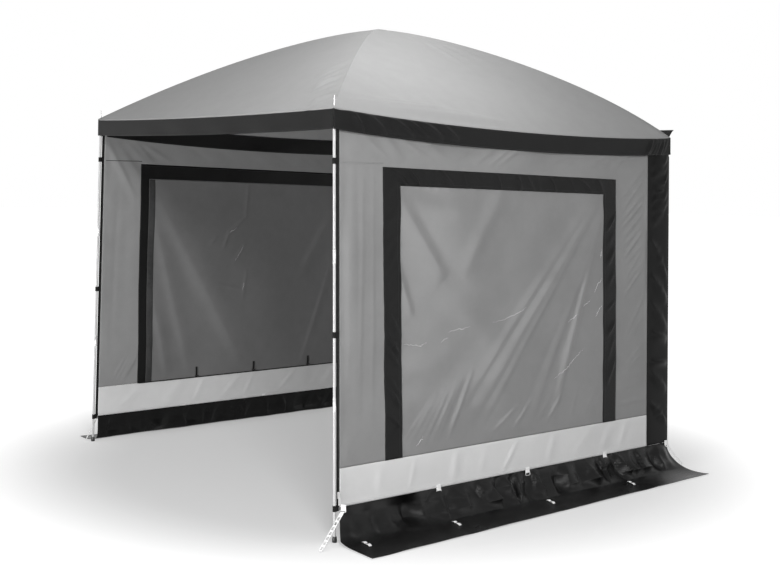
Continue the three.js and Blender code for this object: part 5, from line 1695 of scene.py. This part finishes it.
for name in CORNERS:
    side, length, heading, depth, along, fall = ladder_frame(name)
    run = np.arange(LADDER_START, length + 0.001, 0.001)
    run, share = np.meshgrid(run, np.linspace(-1, 1, 21), indexing="ij")
    end = np.clip((run - (length - LADDER_HALF)) / LADDER_HALF, 0, 1)
    half_wide = LADDER_HALF * np.sqrt(np.clip(1 - end ** 2, 0.02, 1))
    across = share * half_wide
    mid_run = (run[:-1, :-1] + run[1:, 1:]) / 2
    mid_across = (across[:-1, :-1] + across[1:, 1:]) / 2
    keep = np.ones(mid_run.shape, dtype=bool)
    for k in range(int((length - 0.030) / SLOT_PITCH)):
        centre = length - LADDER_HALF - SLOT_LONG / 2 + 0.0024 - k * SLOT_PITCH
        keep &= ~((np.abs(mid_run - centre) < SLOT_LONG / 2) & (np.abs(mid_across) < SLOT_WIDE / 2))
    ribs = 0.0002 * np.cos(2 * pi * run / RIB_PITCH)
    points = ladder_points(name, run, across, 0.0012 + ribs)
    cloth(f"ladder_{name}_strap", points, (0, 0, 1), white_nylon, thickness=0.0024, uv=(run, across),
          keep=keep, body=f"ladder_{name}", replaces=[f"ladder_{name}"], held=None)
    ring = ring_loop(2 * HOOK - RING_WIRE, -(LADDER_START + 0.0016), 0.0025)
    path = ladder_points(name, -ring[:, 1], ring[:, 0])
    closed_piece(f"ladder_ring_{name}", [closed_wire(path, RING_WIRE)], white_steel, body=f"ladder_{name}")
    tab(f"ladder_tab_{name}", side, along, heading, depth)
print("ladder straps:", len(CORNERS))

# %% [markdown]
# White loops for pegs are sewn on the skirt. Each lies on the skirt's own formula, read at the
# loop's place, and rises off it in two humps with a gap between them.

# %% Peg loops on the skirts
LOOP_WIDE = 0.016
for name in SIDES:
    front = LEG_FOOT_Y - SKIRTS[name]["tip"]
    for k, y in enumerate(LOOPS):
        share, width = np.meshgrid(np.linspace(0, 1, 40), np.linspace(0, 1, 9), indexing="ij")
        u = (y + LOOP_WIDE * width - front) / (SEAL_REAR - front)
        points = skirt_points(name, u, lerp(0.70, 0.80, share))
        points[..., 2] += 0.0018 + 0.0055 * np.abs(np.sin(2 * pi * share)) ** 0.7
        off_middle = (np.abs(share - 0.5) > 0.07)[:-1, :-1]
        cloth(f"peg_loop_{k + 1}_{name}", points, (0, 0, 1), white_webbing, thickness=0.0012,
              uv=(LOOP_WIDE * width, share * 0.08), keep=off_middle, held="laid",
              on=["skirt_cloth_" + name])
print("peg loops:", 2 * len(LOOPS))

# %% [markdown]
# At the sill inside each window are three toggles, which tie the blind when it is down: a short
# black strap and a turned bar. They don't open here. The zip's slider is three small blocks
# with rounded edges, which ride on a body of their own.

# %% Blind toggles and zip sliders
TOGGLES = (-0.468, -0.052, 0.374)
TOGGLE_LONG, TOGGLE_WIDE = 0.066, 0.012
TOGGLE_BAR = [[0, -0.014], [0.0026, -0.0136], [0.0036, -0.011], [0.0028, -0.004], [0.0028, 0.004],
              [0.0036, 0.011], [0.0026, 0.0136], [0, 0.014]]
SLIDER_H = 0.190 + 0.015
SLIDER_BLOCKS = (
    ((-0.0020, -0.0062, -0.0145), (0.0020, 0.0062, 0.0145)),
    ((0.0008, -0.0020, -0.009), (0.0042, 0.0020, 0.009)),
    ((0.0026, -0.0034, -0.046), (0.0040, 0.0034, -0.008)),
)


def toggle(name, side, number, along):
    """A strap that stands off the blind in a shallow arc, and the bar across its foot."""
    width, rise = np.meshgrid(np.linspace(-0.5, 0.5, 7), np.linspace(0, 1, 16))
    h = SILL + 0.001 + TOGGLE_LONG * rise
    depth = wall_depth(name, np.full_like(h, along), h) - 0.0085 - 0.0016 * np.sin(pi * rise)
    points = wall_points(side, along + TOGGLE_WIDE * width, h, depth)
    cloth(f"toggle_strap_{number}_{name}", points, (-side, 0, 0), black_webbing, thickness=0.0012,
          uv=(TOGGLE_WIDE * (width + 0.5), TOGGLE_LONG * rise), held="hung",
          on=["blind_" + name + "_cloth"])
    centre = wall_points(side, along, SILL + 0.012, -0.0130)
    closed_piece(f"toggle_bar_{number}_{name}", [turned(TOGGLE_BAR, 20, centre, (0, 1, 0))], black_nylon)


for name, side in SIDES.items():
    for k, along in enumerate(TOGGLES):
        toggle(name, side, k + 1, along)
    at = wall_points(side, tape_front(SLIDER_H) + TAPE_WIDE / 2, SLIDER_H, 0.0038)
    blocks = [block(low, high, wall_axes(side), at) for low, high in SLIDER_BLOCKS]
    closed_piece("zip_slider_" + name + "_body", blocks, steel, body="zip_slider_" + name,
                 replaces=["zip_slider_" + name], smooth=False, bevel=0.0006)
print("toggles and sliders fitted")

# %% [markdown]
# Every sheet of cloth has the size it was cut to and what it hangs on noted in SHEETS. The sizes were
# noted when each piece was made: for the roof its form without folds, and for the others the longest row
# and column of their own grid. HELD_BY names what holds the sewn pieces; the loop below works out each
# sheet's holders but passes them on to nothing.

# %% Sheets
HELD_BY = {
    "surround": "wall_", "inner_band": "wall_", "eave_lining": "wall_", "zip_tape": "wall_",
    "clear_sheet": "surround_", "tab": "pale_band_", "ladder_tab": "pale_band_",
    "leg_strap_top": "leg_upper_front_", "leg_strap_middle": "leg_middle_front_",
    "leg_strap_foot": "leg_lower_front_",
}
for name, (wide, long, area, held, on) in SHEETS.items():
    end = "right" if "right" in name else "left"
    on = [holder + end for start, holder in HELD_BY.items() if name.startswith(start + "_")] or list(on)
print("sheets:", len(SHEETS))

# %% [markdown]
# The studio has a pale floor that runs out of sight into a white background, and soft lamps.
# Floor and background glow only for the camera, for gloss and for rays through clear sheet, by
# Light Path's masks, so that their white adds no light to the cloth. The floor glows less near
# the awning, where its shadow has to show. For all other rays the world is a weak even light.

# %% Floor
FLOOR_HALF = 40.0
FLOOR_Z = -0.0006
GLOW_NEAR, GLOW_FAR = 1.35, 2.7
GLOW_LOW, GLOW_HIGH = 0.33, 1.0


def seen_mask(tree):
    """1 for rays from the camera, off gloss and through clear sheet, and 0 for all others."""
    kinds = tree.nodes.new("ShaderNodeLightPath").outputs
    seen = math_node(tree, "MAXIMUM", kinds["Is Camera Ray"], kinds["Is Glossy Ray"])
    return math_node(tree, "MAXIMUM", seen, kinds["Is Transmission Ray"])


floor_points = np.array([[x, y, FLOOR_Z] for x, y in ((-1, -1), (1, -1), (1, 1), (-1, 1))])
floor_points[:, :2] *= FLOOR_HALF
floor = add_mesh("floor", floor_points, [np.array([[0, 1, 2, 3]])], smooth=False)
floor_paint, floor_tree, floor_shader = new_material("floor paint", 0.9)
floor_shader.inputs["Base Color"].default_value = (0.55, 0.55, 0.55, 1)
floor_shader.inputs["Emission Color"].default_value = (1, 1, 1, 1)
at = floor_tree.nodes.new("ShaderNodeTexCoord")
distance = floor_tree.nodes.new("ShaderNodeVectorMath")
distance.operation = "LENGTH"
floor_tree.links.new(at.outputs["Object"], distance.inputs[0])
glow = ramp(floor_tree, distance.outputs["Value"], GLOW_NEAR, GLOW_FAR, GLOW_LOW, GLOW_HIGH)
shown = math_node(floor_tree, "MULTIPLY", seen_mask(floor_tree), glow)
floor_tree.links.new(shown, floor_shader.inputs["Emission Strength"])
floor.data.materials.append(floor_paint)
print("floor:", 2 * FLOOR_HALF, "m square")

# %% [markdown]
# The key lamp stands high above the camera, a little to its right. Two small lamps lift the
# roof's right panel and the peak, and two large low ones fill the near side and the front. No
# lamp stands behind the awning or on its far side, so it is darker from there.

# %% World and lamps
AMBIENT = 0.18
LAMPS = {
    "key": ((5.0, -3.1, 3.7), (0.6, -0.3, 1.4), 1.2, 135),
    "top": ((1.3, -0.6, 3.1), (0.8, -0.5, 2.1), 0.7, 13.5),
    "peak": ((0.3, 0.1, 3.2), (0.05, 0.0, 2.3), 0.4, 5),
    "side fill": ((6.2, 2.2, 0.5), (1.1, 0.4, 0.9), 3.0, 62),
    "front fill": ((2.0, -5.9, 0.8), (-0.2, 0.1, 1.0), 1.6, 212),
}
world = bpy.data.worlds.new("studio")
bpy.context.scene.world = world
world.use_nodes = True
tree = world.node_tree
background = tree.nodes["Background"]
background.inputs["Color"].default_value = (1, 1, 1, 1)
strength = tree.nodes.new("ShaderNodeMapRange")
tree.links.new(seen_mask(tree), strength.inputs["Value"])
strength.inputs["To Min"].default_value = AMBIENT
strength.inputs["To Max"].default_value = 1.0
tree.links.new(strength.outputs["Result"], background.inputs["Strength"])


def lamp(name, place, aim, size, power):
    """A square soft lamp at a place, turned to its aim."""
    made = bpy.data.objects.new(name, bpy.data.lights.new(name, "AREA"))
    made.data.shape = "SQUARE"
    made.data.size = size
    made.data.energy = power
    made.location = Vector(np.array(place) + CENTRE)
    made.rotation_euler = (Vector(aim) - Vector(place)).to_track_quat("-Z", "Y").to_euler()
    bpy.context.collection.objects.link(made)


for name, setting in LAMPS.items():
    lamp(name, *setting)
print("lamps:", len(LAMPS))
